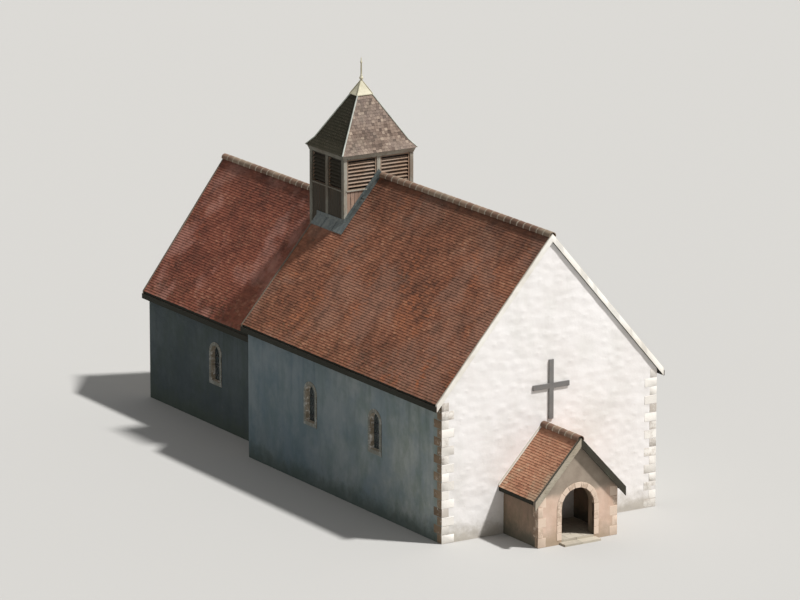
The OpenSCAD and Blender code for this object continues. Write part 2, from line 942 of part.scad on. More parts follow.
nave_floor();
west_wall_north();
west_wall_south();
west_gable();
nave_north_wall();
nave_south_wall();
chancel_arch_piers();
east_gable();
nave_roof_north();
nave_roof_south();
tie_beams();
king_posts();
principal_rafters();
ridge_tiles();
eaves_boards();
chancel_floor();
chancel_north_wall();
chancel_south_wall();
chancel_east_wall();
chancel_roof_north();
chancel_roof_south();
window_surrounds();
window_glass();
porch_floor();
porch_north_wall();
porch_south_wall();
porch_piers();
porch_gable();
porch_roof_north();
porch_roof_south();
porch_bargeboards();
doorway_jambs();
doorway_arch();
door_leaf();
door_ironwork();
wall_cross();
quoins();
turret_posts();
turret_boarding();
turret_louvres();
turret_cornice();
turret_spire();
turret_cap();
turret_finial();
turret_apron();
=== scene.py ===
# Looks of the small limewashed chapel: tiles, stones, boards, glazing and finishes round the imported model.
# Metres. X runs south, Y east along the nave, Z up from the ground.
from math import cos, pi, radians, sin, tan

import bpy
import numpy as np
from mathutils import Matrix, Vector


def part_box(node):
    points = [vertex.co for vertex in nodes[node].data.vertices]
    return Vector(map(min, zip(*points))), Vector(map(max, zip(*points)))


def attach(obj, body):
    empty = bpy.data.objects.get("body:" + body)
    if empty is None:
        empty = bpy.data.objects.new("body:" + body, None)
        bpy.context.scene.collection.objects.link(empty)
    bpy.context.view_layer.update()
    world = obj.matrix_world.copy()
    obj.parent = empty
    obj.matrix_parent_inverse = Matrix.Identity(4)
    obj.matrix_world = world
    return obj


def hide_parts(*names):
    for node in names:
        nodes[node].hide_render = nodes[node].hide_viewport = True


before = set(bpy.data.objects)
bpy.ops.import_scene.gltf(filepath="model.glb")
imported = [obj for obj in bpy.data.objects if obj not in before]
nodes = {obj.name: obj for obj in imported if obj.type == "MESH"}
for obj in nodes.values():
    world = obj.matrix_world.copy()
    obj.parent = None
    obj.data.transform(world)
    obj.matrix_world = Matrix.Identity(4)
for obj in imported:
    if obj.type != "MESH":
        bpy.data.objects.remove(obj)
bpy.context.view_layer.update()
rng = np.random.default_rng(41)
scene = bpy.context.scene


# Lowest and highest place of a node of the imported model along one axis
def low(node, axis):
    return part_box(node)[0][axis]


def high(node, axis):
    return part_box(node)[1][axis]


# A roof's lines, from its north slope: surface z = ridgeZ - |x - centre| tan(pitch). Its slope is
# reach / cos(pitch) long and, measured plumb, thick / cos(pitch) deep
def readRoof(node, pitch, thick):
    reach, pitch = high(node, 0) - low(node, 0), radians(pitch)
    return {
        "centre": high(node, 0), "reach": reach, "ridgeZ": high(node, 2), "startY": low(node, 1), "endY": high(node, 1),
        "pitch": pitch, "thick": thick, "length": reach / cos(pitch), "deep": thick / cos(pitch),
    }


# That height, for a place or an array of places across the roof
def surfaceZ(roof, x):
    return roof["ridgeZ"] - np.abs(x - roof["centre"]) * tan(roof["pitch"])


naveRoof = readRoof("nave_roof_north", 49, 0.18)
chancelRoof = readRoof("chancel_roof_north", 53, 0.18)
porchRoof = readRoof("porch_roof_north", 47, 0.14)
westY = low("west_gable", 1)
naveEastY = high("east_gable", 1)
chancelEastY = high("chancel_east_wall", 1)
naveHalf = high("nave_south_wall", 0)
chancelHalf = high("chancel_south_wall", 0)
porchX = porchRoof["centre"]
porchHalf = high("porch_piers", 0) - porchX
porchY = low("porch_piers", 1)
turretLow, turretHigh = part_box("turret_posts")
turretX, turretY = turretHigh.x, (turretHigh.y - turretLow.y) / 2
turretMid = (turretHigh.y + turretLow.y) / 2


# Top of whichever roof lies under the turret at (x, y)
def roofTop(x, y):
    return np.where(y < naveRoof["endY"] - 1e-4, surfaceZ(naveRoof, x), surfaceZ(chancelRoof, x))


# Finishes. Their looks hold screen colours from 0 to 255, and the colours of a ramp as a list.
rampPlaces = {2: (0.0, 1.0), 3: (0.0, 0.5, 1.0), 4: (0.0, 0.35, 0.7, 1.0)}


# A screen colour as linear light: c / 12.92 in the dark, else ((c + 0.055) / 1.055) to the power 2.4
def tint(red, green, blue):
    parts = np.array([red, green, blue]) / 255
    return tuple(float(v) for v in np.where(parts <= 0.04045, parts / 12.92, ((parts + 0.055) / 1.055) ** 2.4))


# A look whose colours are linear light, with a place from 0 to 1 for each colour of a ramp
def tinted(look):
    made = dict(look)
    for key, value in look.items():
        if isinstance(value, tuple):
            made[key] = tint(*value)
        elif isinstance(value, list):
            made[key] = [(at, tint(*colour)) for at, colour in zip(rampPlaces[len(value)], value)]
    return made


# One socket of a node tree: sums and products on it add Math nodes
class Wire:
    def __init__(self, finish, socket):
        self.finish, self.socket = finish, socket

    def __add__(self, other):
        return self.finish.math("ADD", self, other)

    def __sub__(self, other):
        return self.finish.math("SUBTRACT", self, other)

    def __rsub__(self, other):
        return self.finish.math("SUBTRACT", other, self)

    def __mul__(self, other):
        return self.finish.math("MULTIPLY", self, other)

    __radd__, __rmul__ = __add__, __mul__


# A material and its nodes, which start from the place in the building's own frame
class Finish:
    def __init__(self, name):
        self.material = bpy.data.materials.new(name)
        self.material.use_nodes = True
        self.tree = self.material.node_tree
        self.tree.nodes.clear()
        self.place = self.node("TexCoord", out="Object")
        self.x, self.y, self.z = self.split(self.place)

    # Adds a node: its settings first, then the values or links of its sockets
    def node(self, kind, settings=None, inputs=None, out=0):
        made = self.tree.nodes.new("ShaderNode" + kind)
        for key, value in (settings or {}).items():
            if key == "stops":
                while len(made.color_ramp.elements) < len(value):
                    made.color_ramp.elements.new(1)
                for element, (at, colour) in zip(made.color_ramp.elements, value):
                    element.position, element.color = at, (*colour, 1)
            else:
                setattr(made, key, value)
        for key, value in (inputs or {}).items():
            socket = made.inputs[key]
            if isinstance(value, Wire):
                self.tree.links.new(value.socket, socket)
            else:
                socket.default_value = (*value, 1) if socket.type == "RGBA" and len(value) == 3 else value
        return Wire(self, made.outputs[out]) if made.outputs else made

    def math(self, kind, a, b=0.0):
        return self.node("Math", {"operation": kind}, {0: a, 1: b})

    def split(self, vector):
        parts = self.node("SeparateXYZ", None, {0: vector})
        return [Wire(self, socket) for socket in parts.socket.node.outputs]

    def noise(self, scale, detail=4.0, rough=0.55, at=None):
        inputs = {"Vector": at or self.place, "Scale": scale, "Detail": detail, "Roughness": rough}
        return self.node("TexNoise", None, inputs)

    # Patches where the noise passes from start to end
    def patches(self, start, end, scale, detail=4.0, rough=0.55, at=None):
        return self.smooth(self.noise(scale, detail, rough, at), start, end)

    def stretched(self, x, y, z, shift=0.0):  # the place, scaled by a factor on each axis
        return self.node("Mapping", None, {"Vector": self.place, "Scale": (x, y, z), "Location": (shift, shift, shift)})

    def cells(self, scale, at, feature, out):
        return self.node("TexVoronoi", {"feature": feature}, {"Vector": at, "Scale": scale}, out)

    def smooth(self, value, start, end):  # from 0 at the start to 1 at the end, level at both
        return self.node("MapRange", {"interpolation_type": "SMOOTHSTEP"}, {0: value, 1: start, 2: end})

    def mix(self, factor, a, b):
        return self.node("Mix", {"data_type": "RGBA"}, {0: factor, 6: a, 7: b}, 2)

    def ramp(self, value, *stops):
        return self.node("ValToRGB", {"stops": stops}, {0: value})

    def normal(self):  # which way the surface faces: x, y and z of its normal
        return self.split(self.node("NewGeometry", None, None, "Normal"))

    def tone(self):  # each tile's, stone's or board's own number
        return self.node("Attribute", {"attribute_name": "tone"}, None, "Fac")

    def bump(self, height, distance, under=None):
        inputs = {"Height": height, "Distance": distance, "Strength": 1.0}
        if under:
            inputs["Normal"] = under
        return self.node("Bump", None, inputs)

    def done(self, **sockets):
        shader = self.node("BsdfPrincipled", None, {key.replace("_", " "): value for key, value in sockets.items()})
        self.node("OutputMaterial", None, {"Surface": shader})
        return self


# Limewash on rubble: patches of new and old wash, damp and splashed dirt at the foot, streaks
# under the eaves and greening. Faces to the north take the second look, by their normal: darker
# and bluer, partly damp and partly painted shade
def limewashFinish(name, sunny, shady=None):
    f = Finish(name)
    sunny, shady = tinted(sunny), shady and tinted(shady)
    facing = f.normal()
    # Faces to the north: the share of the darker look, which is partly damp and partly painted shade
    north = f.smooth(facing[0], -0.35, -0.75) if shady else None

    def take(key):  # a value or colour of the look for this side
        if not shady or sunny[key] == shady[key]:
            return sunny[key]
        if isinstance(sunny[key], tuple):
            return f.mix(north, sunny[key], shady[key])
        return north * (shady[key] - sunny[key]) + sunny[key]

    look = {key: sunny[key] if key in ("lumps", "eavesZ", "eastShadeStart") else take(key) for key in sunny}
    patches = f.patches(0.36, 0.66, 0.55, 5, 0.6)
    blotches = f.noise(2.3, 6, 0.62)
    colour = f.mix(patches * 0.75 + f.smooth(blotches, 0.3, 0.75) * 0.25, look["pale"], look["dull"])
    flakes = f.patches(0.62, 0.70, 5.5, 8, 0.7)
    colour = f.mix(flakes * look["flaking"], colour, look["plaster"])
    runs = f.patches(0.46, 0.74, 1.0, 5, 0.6, f.stretched(3.1, 3.1, 0.28))
    highUp = f.smooth(f.z, look["eavesZ"] - 3.2, look["eavesZ"])
    colour = f.mix(runs * (highUp * 0.7 + 0.3) * look["streaks"], colour, look["streak"])
    green = f.patches(0.42, 0.68, 1.1, 6, 0.65, f.stretched(1.0, 1.0, 0.55, 4.0))
    colour = f.mix(green * look["greening"], colour, look["green"])
    # Painted shade: faces to the north grow darker and bluer towards the east, mixing in the deep colour
    eastShadeMask = f.smooth(f.y + f.noise(0.5, 4) * 4.0, look["eastShadeStart"], look["eastShadeStart"] + 11.0)
    colour = f.mix(eastShadeMask * look["eastShadeShare"], colour, look["deep"])
    if "head" in sunny:
        headUp = f.smooth(f.z + f.noise(2.0, 5) * 0.30, 1.80, 2.12)
        colour = f.mix(headUp * 0.9, colour, f.mix(blotches, look["head"], look["headDull"]))
    edge = f.noise(2.6, 6, 0.65) * 1.1
    foot = f.smooth(f.z - edge, 0.35, -0.5)
    colour = f.mix(foot * look["dirt"], colour, look["soil"])
    colour = f.mix(f.smooth(facing[2], 0.2, 0.6) * 0.85, colour, look["top"])
    stonesUnder = f.cells(2.6, f.stretched(1.0, 1.0, 1.5), "SMOOTH_F1", "Distance")
    lumps = f.bump(stonesUnder * -0.7 + f.noise(1.3, 3) * 0.6, look["lumps"])
    bump = f.bump(flakes, -0.002, f.bump(f.noise(34, 5, 0.6), 0.0035, lumps))
    return f.done(Base_Color=colour, Roughness=f.noise(6, 3) * 0.12 + 0.80, Specular_IOR_Level=0.25, Normal=bump)


# Plain clay tiles: each has its own tone, with weathered drifts, lichen spots and moss by the eaves
def tileFinish(name, look):
    f, look = Finish(name), tinted(look)
    tone = f.tone()
    drift = f.noise(0.42, 5, 0.6)
    colour = f.ramp(tone * 0.62 + f.smooth(drift, 0.3, 0.7) * 0.38, *look["stops"])
    blooms = f.noise(look["paleScale"], 5, 0.6, f.stretched(1, 1, 1, 7.0))
    colour = f.mix(f.smooth(blooms, look["paleFrom"], look["paleFrom"] + 0.14) * look["paleness"], colour, look["pale"])
    fired = f.patches(0.50, 0.66, 0.7, 4, 0.6, f.stretched(1, 1, 0.6, 12.0)) * f.smooth(tone, 0.3, 0.8)
    lowWest = f.smooth(f.y, -3.0, -8.5) * f.smooth(f.z, 8.0, 5.6) * look["westFiring"]
    colour = f.mix(fired * (lowWest + look["firing"]), colour, look["fired"])
    soot = f.patches(0.44, 0.72, 1.5, 6, 0.68, f.stretched(1.0, 1.0, 0.6, 3.0))
    colour = f.mix(soot * look["soot"], colour, look["dark"])
    crown = f.smooth(f.z + (f.noise(0.8, 4) - 0.5) * (look["ridgeZ"] - look["eavesZ"]) * 0.6,
                     look["ridgeZ"] * 0.65 + look["eavesZ"] * 0.35, look["ridgeZ"])
    colour = f.mix(crown * look["crown"], colour, look["dark"])
    spots = f.patches(0.63, 0.70, 16, 3, 0.5) * f.patches(0.42, 0.62, 1.7, 3)
    colour = f.mix(spots * look["lichens"], colour, look["lichen"])
    moss = f.patches(0.50, 0.64, 7, 6, 0.7) * f.smooth(f.z, look["eavesZ"] + 1.6, look["eavesZ"])
    colour = f.mix(moss * look["mossy"], colour, look["moss"])
    bump = f.bump(f.noise(60, 4, 0.6), 0.0018, f.bump(f.noise(9, 4), 0.004))
    return f.done(Base_Color=colour, Roughness=0.86 - spots * 0.1, Specular_IOR_Level=0.25, Normal=bump)


# Weathered timber: grain drawn out along one axis, checks, and a tone for each board. Faces to the north darken, partly
# as growth and partly as painted shade
def timberFinish(name, look):
    f, look = Finish(name), tinted(look)
    along = [9.0, 9.0, 9.0]
    along[look["grainAxis"]] = 0.5
    grain = f.noise(4.0, 7, 0.62, f.stretched(*along, 1.0))
    checks = f.patches(0.60, 0.68, 5.0, 3, 0.5, f.stretched(*[v * 1.6 for v in along], 5.0))
    colour = f.ramp(f.tone() * look["toneShare"] + grain * (1 - look["toneShare"]), *look["stops"])
    weather = f.patches(0.38, 0.66, 0.9, 5, 0.6)
    colour = f.mix(weather * look["greying"], colour, look["grey"])
    damp = f.patches(0.47, 0.70, 1.6, 6, 0.7, f.stretched(1, 1, 0.5, 9.0))
    colour = f.mix(damp * look["greening"], colour, look["green"])
    # Faces to the north: darkened by the shade share towards the shadeAndGrowth colour, partly growth and partly
    # painted shade
    north = f.smooth(f.normal()[0], -0.25, -0.65)
    colour = f.mix(north * look["shade"], colour, look["shadeAndGrowth"])
    colour = f.mix(checks * 0.75, colour, look["dark"])
    bump = f.bump(grain - checks * 0.8, look["relief"])
    return f.done(Base_Color=colour, Roughness=grain * 0.2 + 0.66, Specular_IOR_Level=0.15, Normal=bump)


# Dressed stone: each block has its own tone, with tooled pits, bedding bands and remains of wash. Faces to the north
# are darker, as painted shade
def stoneFinish(name, look):
    f, look = Finish(name), tinted(look)
    bands = f.noise(2.2, 5, 0.6, f.stretched(1, 1, 5))
    colour = f.ramp(f.tone() * 0.6 + bands * 0.4, *look["stops"])
    stains = f.patches(0.45, 0.72, 3.4, 6, 0.7)
    colour = f.mix(stains * 0.5, colour, look["stain"])
    left = f.noise(4.5, 7, 0.72, f.stretched(1, 1, 1, 2.0))
    wash = f.smooth(left, look["washFrom"], look["washFrom"] + 0.10)
    if look["washedFront"]:  # more wash is left on the faces to the west
        kept = f.noise(5.0, 5, 0.7) * 0.5 + f.tone() * 0.5
        front = f.smooth(kept, look["frontFrom"], look["frontFrom"] + 0.16) * 0.5 + 0.5
        wash = f.math("MINIMUM", wash + f.smooth(f.normal()[1], -0.3, -0.8) * front, 1.0)
    colour = f.mix(wash * look["washed"], colour, look["wash"])
    # Faces to the north: darkened by the shade share towards the shadeAndGrowth colour, as painted shade
    north = f.smooth(f.normal()[0], -0.3, -0.75)
    colour = f.mix(north * look["shade"], colour, look["shadeAndGrowth"])
    pits = f.patches(0.56, 0.70, 48, 4, 0.6)
    bump = f.bump(pits * -1.0, 0.002, f.bump(f.noise(11, 5), 0.006))
    return f.done(Base_Color=colour, Roughness=0.84 - wash * 0.04, Specular_IOR_Level=0.25, Normal=bump)


# Stone flags in staggered rows, worn smooth and darker in the joints
def flagFinish(name, look):
    f, look = Finish(name), tinted(look)
    brick = f.node("TexBrick", {"offset": 0.42, "squash": 1.3, "squash_frequency": 3}, {
        "Vector": f.place, "Color1": look["light"], "Color2": look["dark"], "Mortar": look["joint"], "Scale": 1.0,
        "Mortar Size": 0.008, "Mortar Smooth": 0.4, "Brick Width": 0.62, "Row Height": 0.42}, "Color")
    joints = Wire(f, brick.socket.node.outputs["Fac"])
    colour = f.mix(f.patches(0.4, 0.75, 5, 6, 0.65) * 0.55, brick, look["worn"])
    bump = f.bump(f.noise(30, 4), 0.002, f.bump(joints * -1.0 + f.noise(2, 3) * 0.5, 0.008))
    return f.done(Base_Color=colour, Roughness=0.80 - joints * -0.1, Normal=bump)


# Lead or painted sheet: flow marks down the slope, patina blooms and a soft sheen
def sheetFinish(name, look):
    f, look = Finish(name), tinted(look)
    flow = f.noise(2.4, 6, 0.65, f.stretched(3.0, 3.0, 0.7))
    bloom = f.patches(0.44, 0.66, 4.0, 6, 0.7, f.stretched(1, 1, 1, 6.0))
    colour = f.mix(f.smooth(flow, 0.3, 0.7), look["dark"], look["light"])
    colour = f.mix(bloom * look["blooming"], colour, look["bloom"])
    bump = f.bump(f.noise(6, 4), 0.006, f.bump(f.noise(40, 3), 0.001))
    return f.done(Base_Color=colour, Roughness=flow * 0.25 + look["rough"], Metallic=look["metal"], Normal=bump)


# Wrought iron with worn black paint and rust
def ironFinish(name, look):
    f, look = Finish(name), tinted(look)
    rust = f.patches(0.48, 0.66, 9, 7, 0.7)
    colour = f.mix(rust * look["rusting"], f.mix(f.noise(3, 4), look["paint"], look["worn"]), look["rust"])
    bump = f.bump(rust * 0.5 + f.noise(50, 4, 0.7) * 0.5, 0.0015)
    return f.done(Base_Color=colour, Roughness=rust * 0.25 + 0.52, Metallic=0.35 - rust * 0.3, Normal=bump)


# Old leaded glass: each diamond quarry leans a little its own way and has its own tint, over a dark opaque colour that
# is painted shade of the dim room behind
def glassFinish(name, look):
    f, look = Finish(name), tinted(look)
    quarry = f.cells(8.0, f.stretched(1, 1, 0.62), "F1", "Color")
    shade = f.split(quarry)
    colour = f.mix(shade[0] * 0.6, look["deep"], look["clear"])
    lean = f.bump(shade[1] * 0.6 + f.noise(5, 3) * 0.8, 0.012)
    return f.done(Base_Color=colour, Roughness=shade[2] * 0.06 + 0.05, IOR=1.52, Specular_IOR_Level=0.7, Normal=lean)


whites = {"pale": (242, 238, 231), "dull": (229, 222, 210), "plaster": (206, 196, 180), "streak": (180, 174, 162),
          "green": (150, 156, 132), "soil": (136, 124, 100), "deep": (200, 198, 188), "top": (176, 168, 152),
          "flaking": 0.30, "streaks": 0.28, "greening": 0.10, "dirt": 0.60, "eastShadeShare": 0.0, "eastShadeStart": -9.0,
          "lumps": 0.036, "eavesZ": 5.1}
# Looks for faces to the north: damp, streaks and green, and darker and bluer overall as painted shade
northDampAndShade = {**whites, "pale": (164, 168, 163), "dull": (125, 137, 140), "plaster": (117, 110, 97),
            "streak": (86, 97, 99), "green": (99, 114, 99), "soil": (71, 80, 71), "deep": (71, 91, 104),
            "flaking": 0.35, "streaks": 0.60, "greening": 0.50, "dirt": 0.75, "eastShadeShare": 0.62}
# The chancel's north walls are darker still, as painted shade
chancelNorthDampAndShade = {**northDampAndShade, "pale": (88, 96, 97), "dull": (62, 71, 73), "streak": (43, 50, 51),
                   "green": (64, 74, 62), "deep": (50, 60, 65), "eastShadeShare": 0.35, "eavesZ": 4.3}
# The porch's north side, and its head too, darker as painted shade
porchNorthDampAndShade = {**northDampAndShade, "pale": (166, 138, 118), "dull": (132, 110, 94), "streak": (86, 80, 70),
                 "green": (92, 92, 72), "head": (130, 120, 108), "headDull": (100, 92, 82), "eastShadeShare": 0.0}
limewashes = {
    "west": ({**whites, "pale": (242, 238, 235), "dull": (234, 229, 225), "flaking": 0.14, "streaks": 0.12,
              "lumps": 0.032, "eavesZ": 9.8}, northDampAndShade),
    "nave": (whites, northDampAndShade),
    "chancel": ({**whites, "eavesZ": 4.3}, chancelNorthDampAndShade),
    "porch": ({**whites, "pale": (220, 193, 175), "dull": (202, 171, 149), "plaster": (178, 146, 122),
               "streak": (150, 132, 116), "head": (170, 158, 142), "headDull": (114, 103, 91), "streaks": 0.35,
               "lumps": 0.022, "eavesZ": 2.6}, porchNorthDampAndShade),
}
washed = {key: limewashFinish("limewash_" + key, *looks) for key, looks in limewashes.items()}

clay = {"dark": (53, 40, 32), "lichen": (140, 129, 102), "moss": (76, 70, 42), "pale": (148, 112, 95),
        "fired": (161, 94, 58), "paleScale": 0.45, "paleFrom": 0.47, "paleness": 0.50, "soot": 0.50, "lichens": 0.7,
        "mossy": 0.40, "firing": 0.40, "westFiring": 0.0, "crown": 0.40, "eavesZ": 5.1, "ridgeZ": 10.5}
tiles = {
    "nave": {**clay, "stops": [(85, 56, 41), (124, 79, 59), (146, 96, 72), (172, 124, 97)], "westFiring": 0.45},
    "chancel": {**clay, "stops": [(81, 45, 34), (118, 67, 52), (141, 84, 65), (170, 117, 94)], "pale": (173, 124, 110),
                "fired": (152, 81, 55), "paleness": 0.65, "soot": 0.42, "firing": 0.2, "crown": 0.25, "eavesZ": 4.2,
                "ridgeZ": 9.0},
    "porch": {**clay, "stops": [(138, 93, 71), (169, 119, 93), (182, 137, 109), (192, 161, 135)],
              "pale": (179, 162, 136), "dark": (93, 70, 55), "paleness": 0.55, "soot": 0.20, "firing": 0.5,
              "crown": 0.45, "eavesZ": 1.75, "ridgeZ": 3.9},
    "ridge": {**clay, "stops": [(97, 72, 59), (121, 95, 79), (142, 121, 102)], "pale": (151, 139, 119),
              "paleness": 0.55, "soot": 0.35, "mossy": 0.0, "firing": 0.0, "crown": 0.0},
}
tiled = {key: tileFinish("clay_" + key, look) for key, look in tiles.items()}

# shade and shadeAndGrowth: how far faces to the north darken, and to what colour; partly growth, partly painted shade
oak = {"stops": [(84, 68, 56), (124, 102, 84), (160, 136, 114)], "grey": (136, 130, 122), "green": (84, 90, 76),
       "shadeAndGrowth": (30, 34, 26), "dark": (44, 38, 34), "greying": 0.45, "greening": 0.25, "shade": 0.90,
       "toneShare": 0.45, "relief": 0.004, "grainAxis": 2}
timbers = {
    "boards": {**oak, "stops": [(116, 90, 76), (160, 128, 108), (190, 160, 138)], "grey": (150, 138, 130)},
    "posts": {**oak, "stops": [(120, 108, 96), (176, 166, 150)], "grey": (176, 176, 164), "greying": 0.7,
              "shade": 0.55},
    "louvres": {**oak, "stops": [(108, 88, 74), (176, 148, 124)], "grey": (160, 148, 136), "greying": 0.4,
                "toneShare": 0.0, "grainAxis": 0},
    # Boards behind the louvres: near black as painted shade of the turret's dim inside
    "lining": {**oak, "stops": [(24, 21, 19), (44, 38, 34)], "grey": (46, 42, 38), "greying": 0.2, "shade": 0.0,
               "toneShare": 0.0},
    "frames": {**oak, "stops": [(70, 58, 48), (112, 92, 74)], "greying": 0.3, "greening": 0.1, "shade": 0.0,
               "toneShare": 0.0, "grainAxis": 1},
    "eaves": {**oak, "stops": [(56, 46, 40), (96, 80, 68)], "greying": 0.3, "toneShare": 0.0, "grainAxis": 1},
    "paleBarge": {**oak, "stops": [(136, 122, 104), (186, 174, 154)], "grey": (178, 170, 154), "greying": 0.7,
                  "toneShare": 0.2, "grainAxis": 0},
    # The south bargeboard: dark as painted shade of the porch roof's overhang
    "barge": {**oak, "stops": [(42, 40, 34), (72, 66, 56)], "grey": (84, 84, 74), "greying": 0.15,
              "toneShare": 0.2, "grainAxis": 0},
    "shingles": {**oak, "stops": [(70, 58, 50), (112, 95, 84), (142, 124, 110), (178, 160, 142)],
                 "grey": (140, 128, 120), "shadeAndGrowth": (31, 31, 14), "greying": 0.35, "greening": 0.22, "shade": 0.95,
                 "toneShare": 0.75},
    "door": {**oak, "stops": [(88, 46, 34), (124, 68, 50), (148, 90, 68)], "grey": (132, 98, 84), "greying": 0.12,
             "greening": 0.0, "shade": 0.0, "relief": 0.003},
}
wooden = {key: timberFinish("timber_" + key, look) for key, look in timbers.items()}

# Faces to the north of these stones darken by the shade share to the shadeAndGrowth colour, as painted shade
masonry = {"stops": [(112, 94, 76), (146, 124, 100), (176, 156, 130)], "stain": (84, 74, 62), "wash": (240, 235, 227),
           "shadeAndGrowth": (74, 62, 50), "washed": 0.92, "washFrom": 0.58, "washedFront": True, "frontFrom": 0.30,
           "shade": 0.35}
stones = {
    "corner": masonry,
    "opening": {**masonry, "stops": [(132, 120, 102), (164, 150, 130), (190, 178, 158)], "shadeAndGrowth": (100, 106, 101),
                "washFrom": 0.50, "washedFront": False, "shade": 0.78},
    "porchCorner": {**masonry, "stops": [(150, 124, 102), (180, 154, 130), (204, 182, 158)],
                    "wash": (222, 200, 180), "washFrom": 0.5},
}
stony = {key: stoneFinish("stone_" + key, look) for key, look in stones.items()}

bedding = {**whites, "streaks": 0.3, "dirt": 0.0, "lumps": 0.02, "eavesZ": 10.5}
mortars = {
    "mortar": {**bedding, "pale": (238, 234, 226), "dull": (222, 214, 202), "streaks": 0.1, "greening": 0.05},
    "mortar_grey": {**bedding, "pale": (186, 176, 160), "dull": (158, 146, 130), "top": (142, 130, 114)},
    "mortar_brown": {**bedding, "pale": (126, 112, 98), "dull": (98, 86, 74), "top": (104, 92, 80)},
}
flagstones = {
    "floor_flags": {"light": (168, 158, 142), "dark": (136, 128, 116), "joint": (92, 86, 76), "worn": (186, 178, 162)},
    "step_stone": {"light": (186, 176, 158), "dark": (164, 154, 138), "joint": (116, 106, 92), "worn": (194, 186, 170)},
}
sheetMetals = {
    "lead_sheet": {"dark": (60, 66, 66), "light": (88, 95, 93), "bloom": (124, 127, 121), "blooming": 0.5,
                   "rough": 0.50, "metal": 0.10},
    "pale_lead": {"dark": (146, 150, 142), "light": (182, 184, 174), "bloom": (200, 200, 188), "blooming": 0.4,
                  "rough": 0.48, "metal": 0.15},
    "cap_sheet": {"dark": (184, 177, 150), "light": (204, 198, 173), "bloom": (166, 159, 134), "blooming": 0.4,
                  "rough": 0.45, "metal": 0.0},
}
irons = {
    "wrought_iron": {"paint": (52, 52, 54), "worn": (84, 84, 84), "rust": (98, 66, 48), "rusting": 0.35},
    "cross_iron": {"paint": (104, 103, 102), "worn": (136, 133, 129), "rust": (122, 104, 90), "rusting": 0.25},
}
mortar, greyMortar, brownMortar = [limewashFinish(*named) for named in mortars.items()]
flags, stepStone = [flagFinish(*named) for named in flagstones.items()]
lead, paleLead, capSheet = [sheetFinish(*named) for named in sheetMetals.items()]
iron, crossIron = [ironFinish(*named) for named in irons.items()]
# The glass's dark colours are painted shade of the room behind it
glass = glassFinish("leaded_glass", {"deep": (28, 36, 40), "clear": (64, 80, 84)})
print("finishes ready")


# Shapes. Each is a dictionary of points, lists of faces and a tone for each face.

# A shape from the points of all its copies and the faces of one, turned outwards: the sum over the
# triangles of a . (b x c) is six times the volume inside, so a sum below 0 turns every face round
def makeShape(points, faceSets, tone, count=1):
    points = np.asarray(points, dtype=float).reshape(-1, 3)
    shift = np.arange(count)[:, None, None] * (len(points) // count)
    faceSets = [(faces + shift).reshape(-1, faces.shape[1]) for faces in faceSets]
    volume = 0.0
    for faces in faceSets:
        for step in range(1, faces.shape[1] - 1):
            a, b, c = points[faces[:, 0]], points[faces[:, step]], points[faces[:, step + 1]]
            volume += np.einsum("ij,ij->", a, np.cross(b, c))
    if volume < 0:
        faceSets = [faces[:, ::-1] for faces in faceSets]
    tones = [np.repeat(np.broadcast_to(tone, count), len(faces) // count) for faces in faceSets]
    return {"points": points, "faceSets": faceSets, "tones": tones}


def xyz(x, y, z):  # points, from numbers or arrays that fit each other
    return np.stack(np.broadcast_arrays(x, y, z), -1)


# Six-sided boxes from arrays of corners (copies, 2, 2, 2, 3)
boxFaces = np.array([[0, 1, 3, 2], [4, 6, 7, 5], [0, 4, 5, 1], [2, 3, 7, 6], [0, 2, 6, 4], [1, 5, 7, 3]])


def boxShape(corners, tone=0.5):
    return makeShape(corners, [boxFaces], tone, len(corners))


# A block with chamfered edges: at each corner one point on each of its three faces. A point's
# place is sign * (half size - chamfer) along each axis, without the chamfer along its face's own
def blockPoints(centre, half, chamfer, axes=None):
    centre, half = np.atleast_2d(centre).astype(float), np.atleast_2d(half).astype(float)
    count = max(len(centre), len(half))
    centre, half = np.broadcast_to(centre, (count, 3)), np.broadcast_to(half, (count, 3))
    signs = np.array([[a, b, c] for a in (-1, 1) for b in (-1, 1) for c in (-1, 1)])
    inset = (1 - np.eye(3)) * chamfer
    local = (signs[None, :, None, :] * (half[:, None, None, :] - inset[None, None])).reshape(count, 24, 3)
    if axes is not None:
        local = np.einsum("nkj,nji->nki", local, axes)
    return centre[:, None] + local


# Its faces: a square on each side, an oblong along each edge and a triangle at each corner
def blockFaces():
    def first(axis, sign, su, sv):  # the first point at the corner with these signs on the axis and the next two
        key = np.zeros(3, int)
        key[[axis, (axis + 1) % 3, (axis + 2) % 3]] = sign, su, sv
        return int((key > 0) @ [12, 6, 3])

    quads = []
    for axis in range(3):
        u, v = (axis + 1) % 3, (axis + 2) % 3
        for sign in (-1, 1):
            ring = [first(axis, sign, su, sv) + axis for su, sv in ((-1, -1), (1, -1), (1, 1), (-1, 1))]
            quads.append(ring[::sign])
        for su in (-1, 1):
            for sv in (-1, 1):
                a, b = [first(axis, sign, su, sv) for sign in (-1, 1)]
                quads.append([a + u, b + u, b + v, a + v][::-su * sv])
    corners = [[i * 3, i * 3 + 1, i * 3 + 2][::way] for i, way in enumerate((-1, 1, 1, -1, 1, -1, -1, 1))]
    return np.array(quads), np.array(corners)


blockQuads, blockCorners = blockFaces()


def blockShape(points, tone=0.5):
    return makeShape(points, [blockQuads, blockCorners], tone, len(points))


